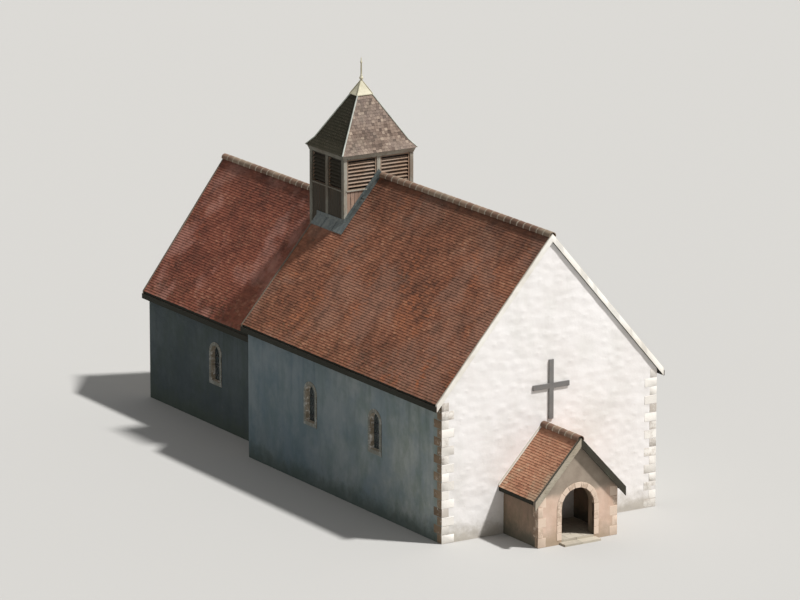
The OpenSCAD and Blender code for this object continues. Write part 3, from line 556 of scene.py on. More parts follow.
# Rings of points joined in turn, from an array (copies, rings, points, 3); a loop also joins its last
# ring to its first, and other lofts are closed by a face at each end
def loftShape(rings, tone=0.5, loop=False):
    if rings.ndim == 3:
        rings = rings[None]
    count, turns, size = rings.shape[:3]
    index = np.arange(turns * size).reshape(turns, size)
    a, b = (index, np.roll(index, -1, 0)) if loop else (index[:-1], index[1:])
    quads = np.stack([a, np.roll(a, -1, 1), np.roll(b, -1, 1), b], -1).reshape(-1, 4)
    ends = [] if loop else [np.array([index[0][::-1], index[-1]])]
    return makeShape(rings, [quads, *ends], tone, count)


# A sheet between two surfaces on the same grid (rows, columns, 3), closed round its edge
def slabShape(top, bottom, tone=0.5):
    rows, columns = top.shape[:2]
    total = rows * columns
    index = np.arange(total).reshape(rows, columns)
    quads = np.stack([index[:-1, :-1], index[1:, :-1], index[1:, 1:], index[:-1, 1:]], -1).reshape(-1, 4)
    rim = np.concatenate([index[0, :-1], index[:-1, -1], index[-1, :0:-1], index[:0:-1, 0]])
    after = np.roll(rim, -1)
    sides = np.stack([rim, after, after + total, rim + total], -1)
    faces = np.concatenate([quads, quads[:, ::-1] + total, sides])
    return makeShape(np.concatenate([top.reshape(-1, 3), bottom.reshape(-1, 3)]), [faces], tone)


# Puts shapes into one object, in the building's own frame. Edges that turn by more than the crease, in
# degrees, are sharp
def addPiece(name, shapes, finish, replaces=(), body="chapel", crease=40):
    if isinstance(shapes, dict):
        shapes = [shapes]
    start, loops, sizes, tones = 0, [], [], []
    for shape in shapes:
        for faces, tone in zip(shape["faceSets"], shape["tones"]):
            loops.append((faces + start).ravel())
            sizes.append(np.full(len(faces), faces.shape[1]))
            tones.append(tone)
        start += len(shape["points"])
    points = np.concatenate([shape["points"] for shape in shapes])
    loops, sizes, tones = np.concatenate(loops), np.concatenate(sizes), np.concatenate(tones)
    mesh = bpy.data.meshes.new(name)
    mesh.vertices.add(len(points))
    mesh.vertices.foreach_set("co", points.ravel())
    mesh.loops.add(len(loops))
    mesh.loops.foreach_set("vertex_index", loops.astype(np.int32))
    mesh.polygons.add(len(sizes))
    mesh.polygons.foreach_set("loop_start", (np.cumsum(sizes) - sizes).astype(np.int32))
    mesh.update(calc_edges=True)
    mesh.attributes.new("tone", "FLOAT", "FACE").data.foreach_set("value", tones.astype(np.float32))
    mesh.set_sharp_from_angle(angle=radians(crease))
    mesh.materials.append(finish.material)
    piece = bpy.data.objects.new(name, mesh)
    scene.collection.objects.link(piece)
    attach(piece, body)
    if replaces:
        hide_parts(*replaces)


# Slow waves over two coordinates: four sines of unlike lengths and starts, between -1 and 1
def waves(u, v, length, seed):
    draw = np.random.default_rng(seed)
    total = 0.0
    for turn, start, share in zip(draw.uniform(0, pi, 4), draw.uniform(0, 2 * pi, 4), (1.0, 1.31, 1.7, 2.3)):
        total = total + np.sin((u * cos(turn) + v * sin(turn)) * 2 * pi * share / length + start)
    return total / 4


# Roofs. Each slope has coordinates s up the slope from the eaves, y along it and n out of it.
slopes = {"tileW": 0.165, "gauge": 0.10, "tileL": 0.128, "tileT": 0.014, "jointW": 0.0025, "leastW": 0.03,
          "strayY": 0.0012, "strayS": 0.0035, "lift": 0.0014, "spread": 0.22, "slipped": 0.004, "slip": (0.012, 0.04),
          "fromVerge": 0.02, "fromRidge": 0.06, "sag": 0.022, "sagWave": 4.2, "under": 0.034, "underInset": 0.012,
          "firstFoot": 0.004, "leastFoot": -0.012, "headGap": 0.004, "ripple": 0.006, "rippleWave": 2.6, "sink": 0.002,
          "headLift": 0.3}


# A place on a slope: its foot, plus s times the way up it, plus n times the way out of it
def onSlope(roof, side, s, y, n):
    pitch = roof["pitch"]
    x = roof["centre"] + side * roof["reach"] - s * side * cos(pitch) + n * side * sin(pitch)
    return xyz(x, y, roof["ridgeZ"] - roof["reach"] * tan(pitch) + s * sin(pitch) + n * cos(pitch))


# The roof sinks between its trusses: sag = -depth sin(pi s / length) (0.55 + 0.45 waves)
def sag(roof, side, s, y):
    depth = slopes["sag"] * (0.5 if roof is porchRoof else 1.0)
    uneven = 0.55 + 0.45 * waves(s, y, slopes["sagWave"], 11 + side)
    return -depth * np.sin(pi * np.clip(s / roof["length"], 0, 1)) * uneven


# Courses of tiles, every other one moved by half a tile. A tile's head lies lower than its foot by one
# tile's thickness for each gauge of its length, and its foot and sides stray a little at random
def tileRoof(name, roof, side, finish, node):
    values, length = slopes, roof["length"]
    startY, endY = roof["startY"] + values["fromVerge"], roof["endY"] - values["fromVerge"]
    rows = int((length - values["fromRidge"]) / values["gauge"]) + 1
    columns = int((endY - startY) / values["tileW"]) + 2
    row, column = [grid.ravel() for grid in np.meshgrid(np.arange(rows), np.arange(columns), indexing="ij")]
    left = startY + (column - 0.5 * (row % 2)) * values["tileW"] + rng.normal(0, values["strayY"], row.size)
    right = np.clip(left + values["tileW"] - values["jointW"], startY, endY)
    left = np.clip(left, startY, endY)
    kept = right - left > values["leastW"]
    row, left, right = row[kept], left[kept], right[kept]
    count = row.size
    stray = rng.normal(0, values["strayS"], count)
    course = row * values["gauge"]
    foot = course + values["firstFoot"] + stray + values["ripple"] * waves(left, course, values["rippleWave"], 5)
    foot -= (rng.random(count) < values["slipped"]) * rng.uniform(*values["slip"], count)
    foot = np.maximum(foot, values["leastFoot"])
    head = np.minimum(foot + values["tileL"], length - values["headGap"])
    lift = rng.normal(0, values["lift"], (count, 2))
    fall = values["tileT"] * (head - foot) / values["gauge"]
    corners = np.empty((count, 2, 2, 2, 3))
    for i, s in enumerate((foot, head)):
        for j, y in enumerate((left, right)):
            raised = lift[:, j] * values["headLift"] - fall if i else lift[:, j]
            top = sag(roof, side, s, y) - values["sink"] + raised
            for k in range(2):
                corners[:, i, j, k] = onSlope(roof, side, s, y, top - k * values["tileT"])
    tone = np.clip(rng.normal(0.5, values["spread"], count), 0, 1)
    addPiece(name + "_tiles", boxShape(corners, tone), finish, [node])
    # The battens and boards under the tiles, cut plumb at the eaves: a point straight below one at
    # height n out of the slope lies (n + thick) tan(pitch) further down it
    inset = values["underInset"]
    along = np.linspace(roof["startY"] + inset, roof["endY"] - inset, 61)
    s, y = np.meshgrid(np.linspace(inset, length, 25), along, indexing="ij")
    under = np.minimum(sag(roof, side, s, y), 0) - values["under"]
    bottom = onSlope(roof, side, s - (roof["thick"] + under) * tan(roof["pitch"]), y, -roof["thick"])
    addPiece(name + "_underlay", slabShape(onSlope(roof, side, s, y, under), bottom), wooden["eaves"])


# A rim carried up one side of a gable and down the other: ring points are (y, height under the slope)
def gableRim(roof, ring, stations, sway=0.0, seed=1):
    x = (roof["centre"] + roof["reach"] * stations)[:, None]
    y, under = np.array(ring).T
    z = surfaceZ(roof, x) + under + sway * waves(x, y * 3, 0.9, seed + 1)
    return loftShape(xyz(x, y + sway * waves(x, under * 2, 0.7, seed), z))


rake = np.linspace(-1, 1, 121)


# Mortar that fills the verge: a rounded strip over the roof's cut end
def verge(roof, face, inward, top, sway, seed):
    foot = -roof["deep"] + 0.004
    profile = [(0.0, foot), (0.0, top - 0.03), (0.012, top - 0.008), (0.035, top), (0.075, top - 0.012),
               (0.085, top - 0.03), (0.085, foot)]
    return gableRim(roof, [(face + inward * across, z) for across, z in profile], rake, sway, seed)


for house, roof in (("nave", naveRoof), ("chancel", chancelRoof), ("porch", porchRoof)):
    slot = "porch_tile" if house == "porch" else "roof_tile"
    for side, facing in ((-1, "north"), (1, "south")):
        tileRoof(house + "_" + facing, roof, side, tiled[house], house + "_roof_" + facing)
addPiece("west_verge", verge(naveRoof, naveRoof["startY"] + 0.002, 1, 0.016, 0.005, 3), mortar)
eastVerges = [verge(naveRoof, naveRoof["endY"] - 0.002, -1, 0.012, 0.003, 4),
              verge(chancelRoof, chancelRoof["endY"] - 0.006, -1, 0.012, 0.003, 5),
              verge(porchRoof, porchRoof["startY"] + 0.004, 1, 0.010, 0.003, 6)]
addPiece("east_verges", eastVerges, brownMortar)
print("tiles laid")

# Ridge tiles: half-round lengths, each a ring of points round its arc, with mortar collars at the joints
ridge = {"radius": 0.15, "thick": 0.024, "length": 0.42, "reachAngle": 104, "gap": 0.002, "lower": 0.007,
         "collar": 0.05, "collarLower": 0.001, "tilt": 0.0022, "stray": 0.002}


# A ring of points round the tile's arc, out along its back and home along its inside
def arcRing(radius, thick):
    angle = np.radians(np.linspace(-ridge["reachAngle"], ridge["reachAngle"], 11))
    arc = np.stack([np.sin(angle), np.cos(angle)], -1)
    return np.concatenate([arc * radius, arc[::-1] * (radius - thick)])


# Lengths of equal size from start to end, a little out of line; or the collars at their joints
def ridgeRun(roof, startY, endY, collars=False):
    count = max(1, round((endY - startY) / ridge["length"]))
    edge = np.linspace(startY, endY, count + 1)
    if collars:
        a, b = edge[1:-1] - ridge["collar"] / 2, edge[1:-1] + ridge["collar"] / 2
        radius = ridge["radius"] - ridge["collarLower"]
    else:
        a, b = edge[:-1] + ridge["gap"], edge[1:] - ridge["gap"]
        radius = ridge["radius"] - ridge["lower"]
    ring = arcRing(radius, ridge["thick"])
    n, rings = len(a), []
    lift = np.minimum(rng.normal(0, ridge["tilt"], (n, 2)), 0.001)
    for i, y in enumerate((a, b)):
        x = roof["centre"] + ring[:, 0] + rng.normal(0, ridge["stray"], n)[:, None]
        z = roof["ridgeZ"] - ridge["radius"] / 2 + ring[:, 1] + lift[:, i, None]
        rings.append(xyz(x, y[:, None], z))
    return loftShape(np.stack(rings, 1), rng.random(n))


apronLow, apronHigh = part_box("turret_apron")
ridgeRuns = [(naveRoof, naveRoof["startY"] + 0.01, apronLow.y),
             (chancelRoof, apronHigh.y, chancelRoof["endY"] - 0.01),
             (porchRoof, porchRoof["startY"] + 0.005, westY)]
addPiece("ridge_tile_run", [ridgeRun(*run) for run in ridgeRuns], tiled["ridge"], ["ridge_tiles"])
addPiece("ridge_mortar", [ridgeRun(*run, True) for run in ridgeRuns], greyMortar)
print("ridges laid")

# Porch bargeboards, with a thin drip board over them. The south board is dark as painted shade of the porch roof's
# overhang; the north one is pale
barge = {"depth": 0.23, "thick": 0.04, "chamfer": 0.006}
front, back, c = porchRoof["startY"] - barge["thick"], porchRoof["startY"], barge["chamfer"]
foot = -barge["depth"] / cos(porchRoof["pitch"])
bargeRing = [(front, -c - 0.02), (front + c, -0.02), (back, -0.02), (back, foot), (front + c, foot), (front, foot + c)]
dripRing = [(front, -0.018), (front, -0.001), (back + 0.03, 0.004), (back + 0.03, -0.018)]
for name, start, look, replaced in (("north", -1, "paleBarge", ["porch_bargeboards"]), ("south", 0, "barge", [])):
    boards = [gableRim(porchRoof, ring, np.linspace(start, start + 1, 61)) for ring in (bargeRing, dripRing)]
    addPiece("porch_barge_board_" + name, boards, wooden[look], replaced)

# Corner stones
quoins = {"long": 0.52, "short": 0.30, "porchLong": 0.33, "porchShort": 0.21, "courseH": 0.31, "proud": 0.008,
          "chamfer": 0.006, "joint": 0.006, "rough": 0.004}


# A column of corner stones, long and short in turn, as the model has them
def quoinColumn(side, x, y, topZ, longFace, shortFace):
    courses = int(topZ / quoins["courseH"])
    edges = np.linspace(0, topZ, courses + 1)
    even = np.arange(courses) % 2 == 0
    frontLength = np.where(even, longFace, shortFace)
    flankLength = np.where(even, shortFace, longFace)
    near, faceY, joint = side * (x + quoins["proud"]), y - quoins["proud"], quoins["joint"] / 2
    far = near - side * frontLength
    least = xyz(np.minimum(near, far), faceY, edges[:-1] + joint)
    most = xyz(np.maximum(near, far), faceY + flankLength, edges[1:] - joint)
    points = blockPoints((least + most) / 2, (most - least) / 2, quoins["chamfer"])
    pull = rng.normal(0, quoins["rough"], (courses, 24, 3))
    centre = points.mean(1, keepdims=True)
    points = points + np.where((points - centre) * pull > 0, -pull, pull)  # only inwards
    return blockShape(points, rng.random(courses))


# Underside of a roof's slab, where the corner stones end
def seatZ(roof, x):
    return surfaceZ(roof, x) - roof["deep"]


cornerTop = seatZ(naveRoof, naveHalf + quoins["proud"])
porchTop = seatZ(porchRoof, porchX + porchHalf + quoins["proud"])
columns = [quoinColumn(side, naveHalf, westY, cornerTop, quoins["long"], quoins["short"]) for side in (-1, 1)]
addPiece("corner_stones", columns, stony["corner"], ["quoins"])
columns = [quoinColumn(side, porchHalf, porchY, porchTop, quoins["porchLong"], quoins["porchShort"])
           for side in (-1, 1)]
for column in columns:
    column["points"][:, 0] += porchX
addPiece("porch_corner_stones", columns, stony["porchCorner"])

# Stones round a window or door, in the opening's own frame: x across, -y outwards, z up
openings = {"stoneH": 0.26, "joint": 0.007, "chamfer": 0.008, "wedges": 9}


# Jamb stones stacked on both sides, then wedges whose place is (r sin t, r cos t) over the springing
def openingStones(width, foot, springZ, stoneW, frontY, backY, sill=False):
    half, joint, chamfer, wedges = width / 2, openings["joint"] / 2, openings["chamfer"], openings["wedges"]
    midY, deep = (frontY + backY) / 2, (backY - frontY) / 2
    pieces = []
    count = max(2, round((springZ - foot) / openings["stoneH"]))
    edge = np.linspace(foot, springZ, count + 1)
    mid, tall = (edge[:-1] + edge[1:]) / 2, (edge[1:] - edge[:-1]) / 2 - joint
    for side in (-1, 1):
        pieces.append(blockPoints(xyz(side * (half + stoneW / 2), midY, mid), xyz(stoneW / 2, deep, tall), chamfer))
    middle = half + stoneW / 2
    arc = pi * middle / wedges
    at = (np.arange(wedges) - (wedges - 1) / 2) * arc
    arch = blockPoints(xyz(at, midY, middle), [arc / 2 - joint, deep, stoneW / 2], chamfer)
    turn, radius = arch[..., 0] / middle, arch[..., 2].copy()
    arch[..., 0], arch[..., 2] = radius * np.sin(turn), springZ + radius * np.cos(turn)
    pieces.append(arch)
    if sill:
        pieces.append(blockPoints([0, midY, foot - stoneW / 2], [half + stoneW, deep, stoneW / 2], chamfer))
    points = np.concatenate(pieces)
    return blockShape(points, rng.random(len(points)))


# A bar of section (offset from the opening's edge, depth) carried up one jamb, round the arch and down
def openingBand(width, foot, springZ, inner, outer, frontY, backY):
    half = width / 2
    ring = [(inner, frontY), (outer, frontY), (outer, backY), (inner, backY)]
    path = [[((half + d) * sin(turn), y, springZ + (half + d) * cos(turn)) for d, y in ring]
            for turn in np.linspace(-pi / 2, pi / 2, 25)]
    ends = [[(side * (half + d), y, foot) for d, y in ring] for side in (-1, 1)]
    return loftShape(np.array([ends[0], *path, ends[1]]))


# Turns a shape from an opening's frame onto a wall, by quarter turns about Z
def ontoWall(shape, quarter, x, y):
    c4, s4 = ((1, 0), (0, 1), (-1, 0), (0, -1))[quarter]
    px, py, pz = shape["points"].T
    shape["points"] = xyz(px * c4 - py * s4 + x, px * s4 + py * c4 + y, pz)
    return shape


# Diamond leading: lines at both slopes, each kept between its first and last point inside the opening
glazing = {"lean": 58, "pitch": 0.115, "came": 0.010, "deep": 0.008, "cameEdge": 0.0015, "crossing": 0.002,
           "setback": 0.170, "frameW": 0.016, "frameT": 0.009, "bars": 3, "firstBar": 0.6, "barHalf": 0.008,
           "barEdge": 0.002, "barOut": 0.022, "barEnd": 0.01}


# Under the arch: within the width, over the foot, and under the springing or within the half circle over it
def insideOpening(x, z, width, foot, springZ):
    return (np.abs(x) < width / 2) & (z > foot) & ((z < springZ) | (x ** 2 + (z - springZ) ** 2 < (width / 2) ** 2))


def leading(width, foot, springZ):
    shapes = []
    top = springZ + width / 2
    t = np.linspace(-3, 3, 1201)
    for lean in (-glazing["lean"], glazing["lean"]):
        way = np.array([cos(radians(lean)), sin(radians(lean))])
        across = np.array([-way[1], way[0]])
        shift = np.arange(-2.5, 2.5, glazing["pitch"])
        x = shift[:, None] * across[0] + t * way[0]
        z = (foot + top) / 2 + shift[:, None] * across[1] + t * way[1]
        inside = insideOpening(x, z, width, foot, springZ)
        kept = inside.sum(1) > 12  # steps of 5 mm
        first, last = inside.argmax(1)[kept], t.size - 1 - inside[:, ::-1].argmax(1)[kept]
        rows = np.nonzero(kept)[0]
        startX, startZ, endX, endZ = x[rows, first], z[rows, first], x[rows, last], z[rows, last]
        y = glazing["setback"] - glazing["deep"] / 2 + (glazing["crossing"] if lean > 0 else 0)
        centre = xyz((startX + endX) / 2, y, (startZ + endZ) / 2)
        half = xyz(np.hypot(endX - startX, endZ - startZ) / 2, glazing["deep"] / 2, glazing["came"] / 2)
        axes = np.broadcast_to([[way[0], 0, way[1]], [0, 1, 0], [across[0], 0, across[1]]], (rows.size, 3, 3))
        shapes.append(blockShape(blockPoints(centre, half, glazing["cameEdge"], axes)))
    return shapes


# Level bars across the glass, at even heights below the springing
def saddleBars(width, foot, springZ):
    z = foot + (springZ - foot) * (np.arange(glazing["bars"]) + glazing["firstBar"]) / glazing["bars"]
    half = [width / 2 + glazing["barEnd"], glazing["barHalf"], glazing["barHalf"]]
    return blockShape(blockPoints(xyz(0, glazing["setback"] - glazing["barOut"], z), half, glazing["barEdge"]))


# Each kind of window: width, height of its sill and height of its straight sides
windows = {"nave": (0.62, 2.35, 1.05), "chancel": (0.62, 1.75, 1.05), "east": (0.86, 2.10, 1.35)}
surround = {"stoneW": 0.14, "front": -0.022, "back": 0.30, "chancelWall": 0.7, "bedFoot": 0.01, "bedIn": 0.006,
            "bedFront": 0.008, "bedBack": 0.004}
windowSets = []
for side, quarter in ((-1, 3), (1, 1)):
    for part in (1, 2):
        windowSets.append((quarter, side * naveHalf, westY + (naveEastY - westY) * part / 3, "nave"))
    midY = (naveEastY + chancelEastY - surround["chancelWall"]) / 2
    windowSets.append((quarter, side * chancelHalf, midY, "chancel"))
windowSets.append((2, 0.0, chancelEastY, "east"))
surrounds, backing, cames, bars = [], [], [], []
stoneW, front, back, setback = surround["stoneW"], surround["front"], surround["back"], glazing["setback"]
section = (surround["bedIn"], stoneW, front + surround["bedFront"], back - surround["bedBack"])
for quarter, x, y, kind in windowSets:
    width, sillZ, sideH = windows[kind]
    opening = (width, sillZ, sillZ + sideH)
    bed = (width, sillZ - stoneW + surround["bedFoot"], sillZ + sideH)
    place = (quarter, x, y)
    surrounds.append(ontoWall(openingStones(*opening, stoneW, front, back, True), *place))
    backing.append(ontoWall(openingBand(*bed, *section), *place))
    cames += [ontoWall(shape, *place) for shape in leading(*opening)]
    edging = openingBand(*opening, -glazing["frameW"], 0.0, setback - glazing["frameT"], setback)
    cames.append(ontoWall(edging, *place))
    bars.append(ontoWall(saddleBars(*opening), *place))
addPiece("window_stones", surrounds, stony["opening"], ["window_surrounds"])
addPiece("window_bedding", backing, greyMortar)
addPiece("window_leading", cames, lead)
addPiece("window_bars", bars, iron)
print("windows glazed")

# West doorway stones, a little proud of the plain stones behind them
doorway = {"width": 1.2, "foot": 0.15, "springZ": 1.5, "stoneW": 0.15, "frontY": -0.010, "backY": 0.20}
doorStones = ontoWall(openingStones(**doorway), 0, porchX, westY)
addPiece("doorway_stones", doorStones, stony["opening"])

# Ring of stones round the porch arch, nearly flush with the wash
porchArch = {"width": 1.35, "foot": 0.15, "springZ": 1.275, "stoneW": 0.20, "frontY": -0.012, "backY": 0.12}
archStones = ontoWall(openingStones(**porchArch), 0, porchX, porchY)
addPiece("porch_arch_stones", archStones, stony["porchCorner"])

# Wall cross: two chamfered bars, of which the arm is a little thinner
cross = {"bar": 0.19, "armDown": 0.95, "thinner": 0.002, "chamfer": 0.006}
crossLow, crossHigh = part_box("wall_cross")
mid, half = (crossLow + crossHigh) / 2, (crossHigh - crossLow) / 2
upright = blockPoints(mid, [cross["bar"] / 2, half.y, half.z], cross["chamfer"])
arm = blockPoints([mid.x, mid.y + cross["thinner"], crossHigh.z - cross["armDown"]],
                  [half.x, half.y - cross["thinner"], cross["bar"] / 2], cross["chamfer"])
addPiece("cross_bars", blockShape(np.concatenate([upright, arm])), crossIron, ["wall_cross"])
print("stones set")

# Door leaf: planks, each a ring of its section from the floor gap up to the arch, ledges behind, and studs
door = {"planks": 6, "front": 0.036, "groove": 0.006, "ledges": (0.48, 1.00, 1.32), "ledgeH": 0.15, "stud": 0.011,
        "studRise": 0.005, "studApart": 0.07, "archGap": 0.001, "halfGap": 0.0005, "ledgeShort": 0.02,
        "ledgeEdge": 0.004}
leafLow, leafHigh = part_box("door_leaf")
leafHalf, leafMid = (leafHigh.x - leafLow.x) / 2, (leafHigh.x + leafLow.x) / 2


# Section ring of a plank from x0 to x1 with its front corners cut back; its top follows
# z = spring + sqrt(half^2 - x^2)
def plankRings(x0, x1, frontY, backY, groove, z0):
    quarters = [(x0 * 3 + x1) / 4, (x0 + x1) / 2, (x0 + x1 * 3) / 4]
    x = np.array([x0, x0, x0 + groove, *quarters, x1 - groove, x1, x1, *quarters[::-1]])
    y = np.array([backY, frontY + groove, *[frontY] * 5, frontY + groove, *[backY] * 4])
    top = doorway["springZ"] + np.sqrt(np.maximum(leafHalf ** 2 - (x - leafMid) ** 2, 0)) - door["archGap"]
    return [xyz(x, y, z0), xyz(x, y, top)]


edges = np.linspace(leafLow.x, leafHigh.x, door["planks"] + 1)
backY = leafLow.y + door["front"]
planks = [plankRings(a, b, leafLow.y, backY, door["groove"], leafLow.z)
          for a, b in zip(edges[:-1] + door["halfGap"], edges[1:] - door["halfGap"])]
leafShapes = [loftShape(np.array(planks), rng.random(door["planks"]))]
ledgeHalf = [leafHalf - door["ledgeShort"], (leafHigh.y - leafLow.y - door["front"]) / 2, door["ledgeH"] / 2]
ledges = blockPoints([[leafMid, (backY + leafHigh.y) / 2, z] for z in door["ledges"]], ledgeHalf, door["ledgeEdge"])
leafShapes.append(blockShape(ledges))
addPiece("door_planks", leafShapes, wooden["door"], ["door_leaf"], "door")


# Domes on a plane: rings of a radius, standing out from it by a rise, both by shares of their own
def domes(centres, radius, rise):
    x, y, z = [part[:, None, None] for part in np.array(centres).T]
    turn = np.linspace(0, 2 * pi, 8, endpoint=False)
    lift = np.array([-0.3, 0.35, 0.8, 1.0])[:, None]
    wide = np.array([1.0, 0.92, 0.55, 0.12])[:, None]
    return loftShape(xyz(x + radius * wide * np.cos(turn), y - rise * lift, z + radius * wide * np.sin(turn)))


apart = door["studApart"] / 2
studs = [(x, leafLow.y, z + dz) for x in (edges[:-1] + edges[1:]) / 2 for z in door["ledges"] for dz in (-apart, apart)]
addPiece("door_studs", domes(studs, door["stud"], door["studRise"]), iron, (), "door")
print("door hung")

# Bell turret
turret = {"post": 0.16, "postChamfer": 0.014, "board": 0.15, "boardT": 0.032, "inset": 0.024, "boardGap": 0.004,
          "footSink": 0.03, "footFall": 0.4, "boardEdge": 0.005, "boardStray": 0.006, "boardLean": 0.0025}
corniceLow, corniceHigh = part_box("turret_cornice")
boardTop = high("turret_boarding", 2)
eavesZ = corniceHigh.z


# Uprights with a chamfered square section, whose foot follows the roof under each of its points
def uprights(places, half, chamfer, topZ):
    places = np.asarray(places, dtype=float)
    c, h = chamfer, half
    x = places[:, :1] + np.array([-h, -h + c, h - c, h, h, h - c, -h + c, -h])
    y = places[:, 1:] + np.array([-h + c, -h, -h, -h + c, h - c, h, h, h - c])
    foot = roofTop(x, y) - turret["footSink"]
    foot = np.minimum(foot, foot.min(1, keepdims=True) + turret["footFall"])
    return loftShape(np.stack([xyz(x, y, foot), xyz(x, y, topZ)], 1), rng.random(len(places)))


reachX, reachY = turretX - turret["post"] / 2, turretY - turret["post"] / 2
postPlaces = [(ix * reachX, turretMid + iy * reachY) for ix in (-1, 0, 1) for iy in (-1, 0, 1) if ix or iy]
posts = uprights(postPlaces, turret["post"] / 2, turret["postChamfer"], corniceLow.z)
addPiece("turret_timber_posts", posts, wooden["posts"], ["turret_posts"])


# Boards side by side along one face, between two marks on it. Each is a ring of its section: the face's
# outward axis carries the thickness
def boardRun(start, end, faceAt, outSign, alongX):
    count = max(1, round(abs(end - start) / turret["board"]))
    edge = np.linspace(start, end, count + 1)
    edge[1:-1] += rng.normal(0, turret["boardStray"], count - 1)
    gap, c = turret["boardGap"] / 2, turret["boardEdge"]
    rings = []
    for a, b in zip(edge[:-1] + gap, edge[1:] - gap):
        lean = rng.normal(0, turret["boardLean"])
        outer, inner = faceAt + outSign * lean, faceAt - outSign * turret["boardT"]
        along = np.array([a, a, a + c, b - c, b, b])
        across = np.array([inner, outer - outSign * c, outer, outer, outer - outSign * c, inner])
        x, y = (along, across) if alongX else (across, along)
        rings.append([xyz(x, y, roofTop(x, y) - turret["footSink"]), xyz(x, y, boardTop)])
    return loftShape(np.array(rings), rng.random(count))


# Runs along each face of the turret, set in from it, over the spans in y on its sides and in x on its ends
def roundFaces(make, spansY, spansX, inset):
    made = []
    for side in (-1, 1):
        made += [make(*span, side * (turretX - inset), side, False) for span in spansY]
        made += [make(*span, turretMid + side * (turretY - inset), side, True) for span in spansX]
    return made


inner, step = turret["post"] / 2, naveRoof["endY"]
spansX = [(-reachX + inner, -inner), (inner, reachX - inner)]
spansY = [(turretMid - reachY + inner, turretMid - inner), (turretMid + inner, step - 0.001),
          (step + 0.001, turretMid + reachY - inner)]
boardFaces = roundFaces(boardRun, spansY, spansX, turret["inset"])
addPiece("turret_boards", boardFaces, wooden["boards"], ["turret_boarding"])


# A block along each face of the turret, set in from it and kept short of the corners
def roundTurret(inset, halfT, z, halfH, short, chamfer):
    blocks = []
    for side in (-1, 1):
        x, y = side * (turretX - inset), turretMid + side * (turretY - inset)
        blocks.append(blockPoints([x, turretMid, z], [halfT, turretY - short, halfH], chamfer))
        blocks.append(blockPoints([0, y, z], [turretX - short, halfT, halfH], chamfer))
    return np.concatenate(blocks)


# Sill boards under the louvres, and boards behind these, which keep the birds out and are near black as painted shade
# of the turret's dim inside
sills = roundTurret(0.012, 0.026, boardTop + 0.012, 0.022, 0.12, 0.005)
addPiece("turret_sills", blockShape(sills, rng.random(4)), wooden["posts"])
insideShadeBoards = roundTurret(turret["inset"] + 0.122, 0.008, (boardTop + corniceLow.z) / 2,
                      (corniceLow.z - boardTop) / 2 - 0.002, 0.13, 0.002)
addPiece("turret_linings", blockShape(insideShadeBoards), wooden["lining"])


# A moulding round the turret: profile points (outwards from the posts, height), mitred at the corners
def mitred(profile):
    out, z = np.array(profile).T
    signs = np.array([(-1, -1), (1, -1), (1, 1), (-1, 1)])
    return loftShape(xyz(signs[:, :1] * (turretX + out), turretMid + signs[:, 1:] * (turretY + out), z), loop=True)


fromFoot = [(-0.16, 0), (0.012, 0), (0.016, 0.045), (0.028, 0.055), (0.032, 0.075), (0.040, 0.105), (0.055, 0.120)]
fromTop = [(0.055, -0.006), (0.050, 0), (-0.16, 0)]
corniceProfile = [(out, corniceLow.z + z) for out, z in fromFoot] + [(out, corniceHigh.z + z) for out, z in fromTop]
addPiece("turret_cornice_moulding", mitred(corniceProfile), wooden["posts"], ["turret_cornice"])
print("turret framed")

# Spire: a boarded core under courses of split shingles
spire = {"rise": 2.45, "over": 0.12, "flareW": 0.26, "flareH": 0.30, "gauge": 0.115, "shingleW": 0.125,
         "shingleT": 0.018, "shingleL": 0.16, "widths": (0.82, 1.18), "gap": 0.004, "underCap": 0.45, "slip": 0.006,
         "lift": 0.002, "tuck": 0.014, "spread": 0.25, "leastShown": 0.01, "sink": 0.004}
spireX, spireY = turretX + spire["over"], turretY + spire["over"]


# Half width at a height over the eaves: straight in to the flare's top, then straight to the point
def spireHalf(z, reach):
    steep = (reach - spire["flareW"]) * (spire["rise"] - z) / (spire["rise"] - spire["flareH"])
    flare = reach - spire["flareW"] * z / spire["flareH"]
    return np.where(z < spire["flareH"], flare, steep)


# The core's four corners at a height, set in under the shingles
def spireRing(z, inset):
    x, y = [max(float(spireHalf(z, reach)) - inset, 0.004) for reach in (spireX, spireY)]
    return [(sx * x, turretMid + sy * y, eavesZ + z) for sx, sy in ((-1, -1), (1, -1), (1, 1), (-1, 1))]


coreLevels = ((0.0, 0.02), (0.012, 0.014), (spire["flareH"], 0.045), (1.4, 0.045), (2.05, 0.035), (2.4, 0.02))
core = np.array([spireRing(*level) for level in coreLevels])
addPiece("spire_core", loftShape(core), wooden["shingles"], ["turret_spire"])


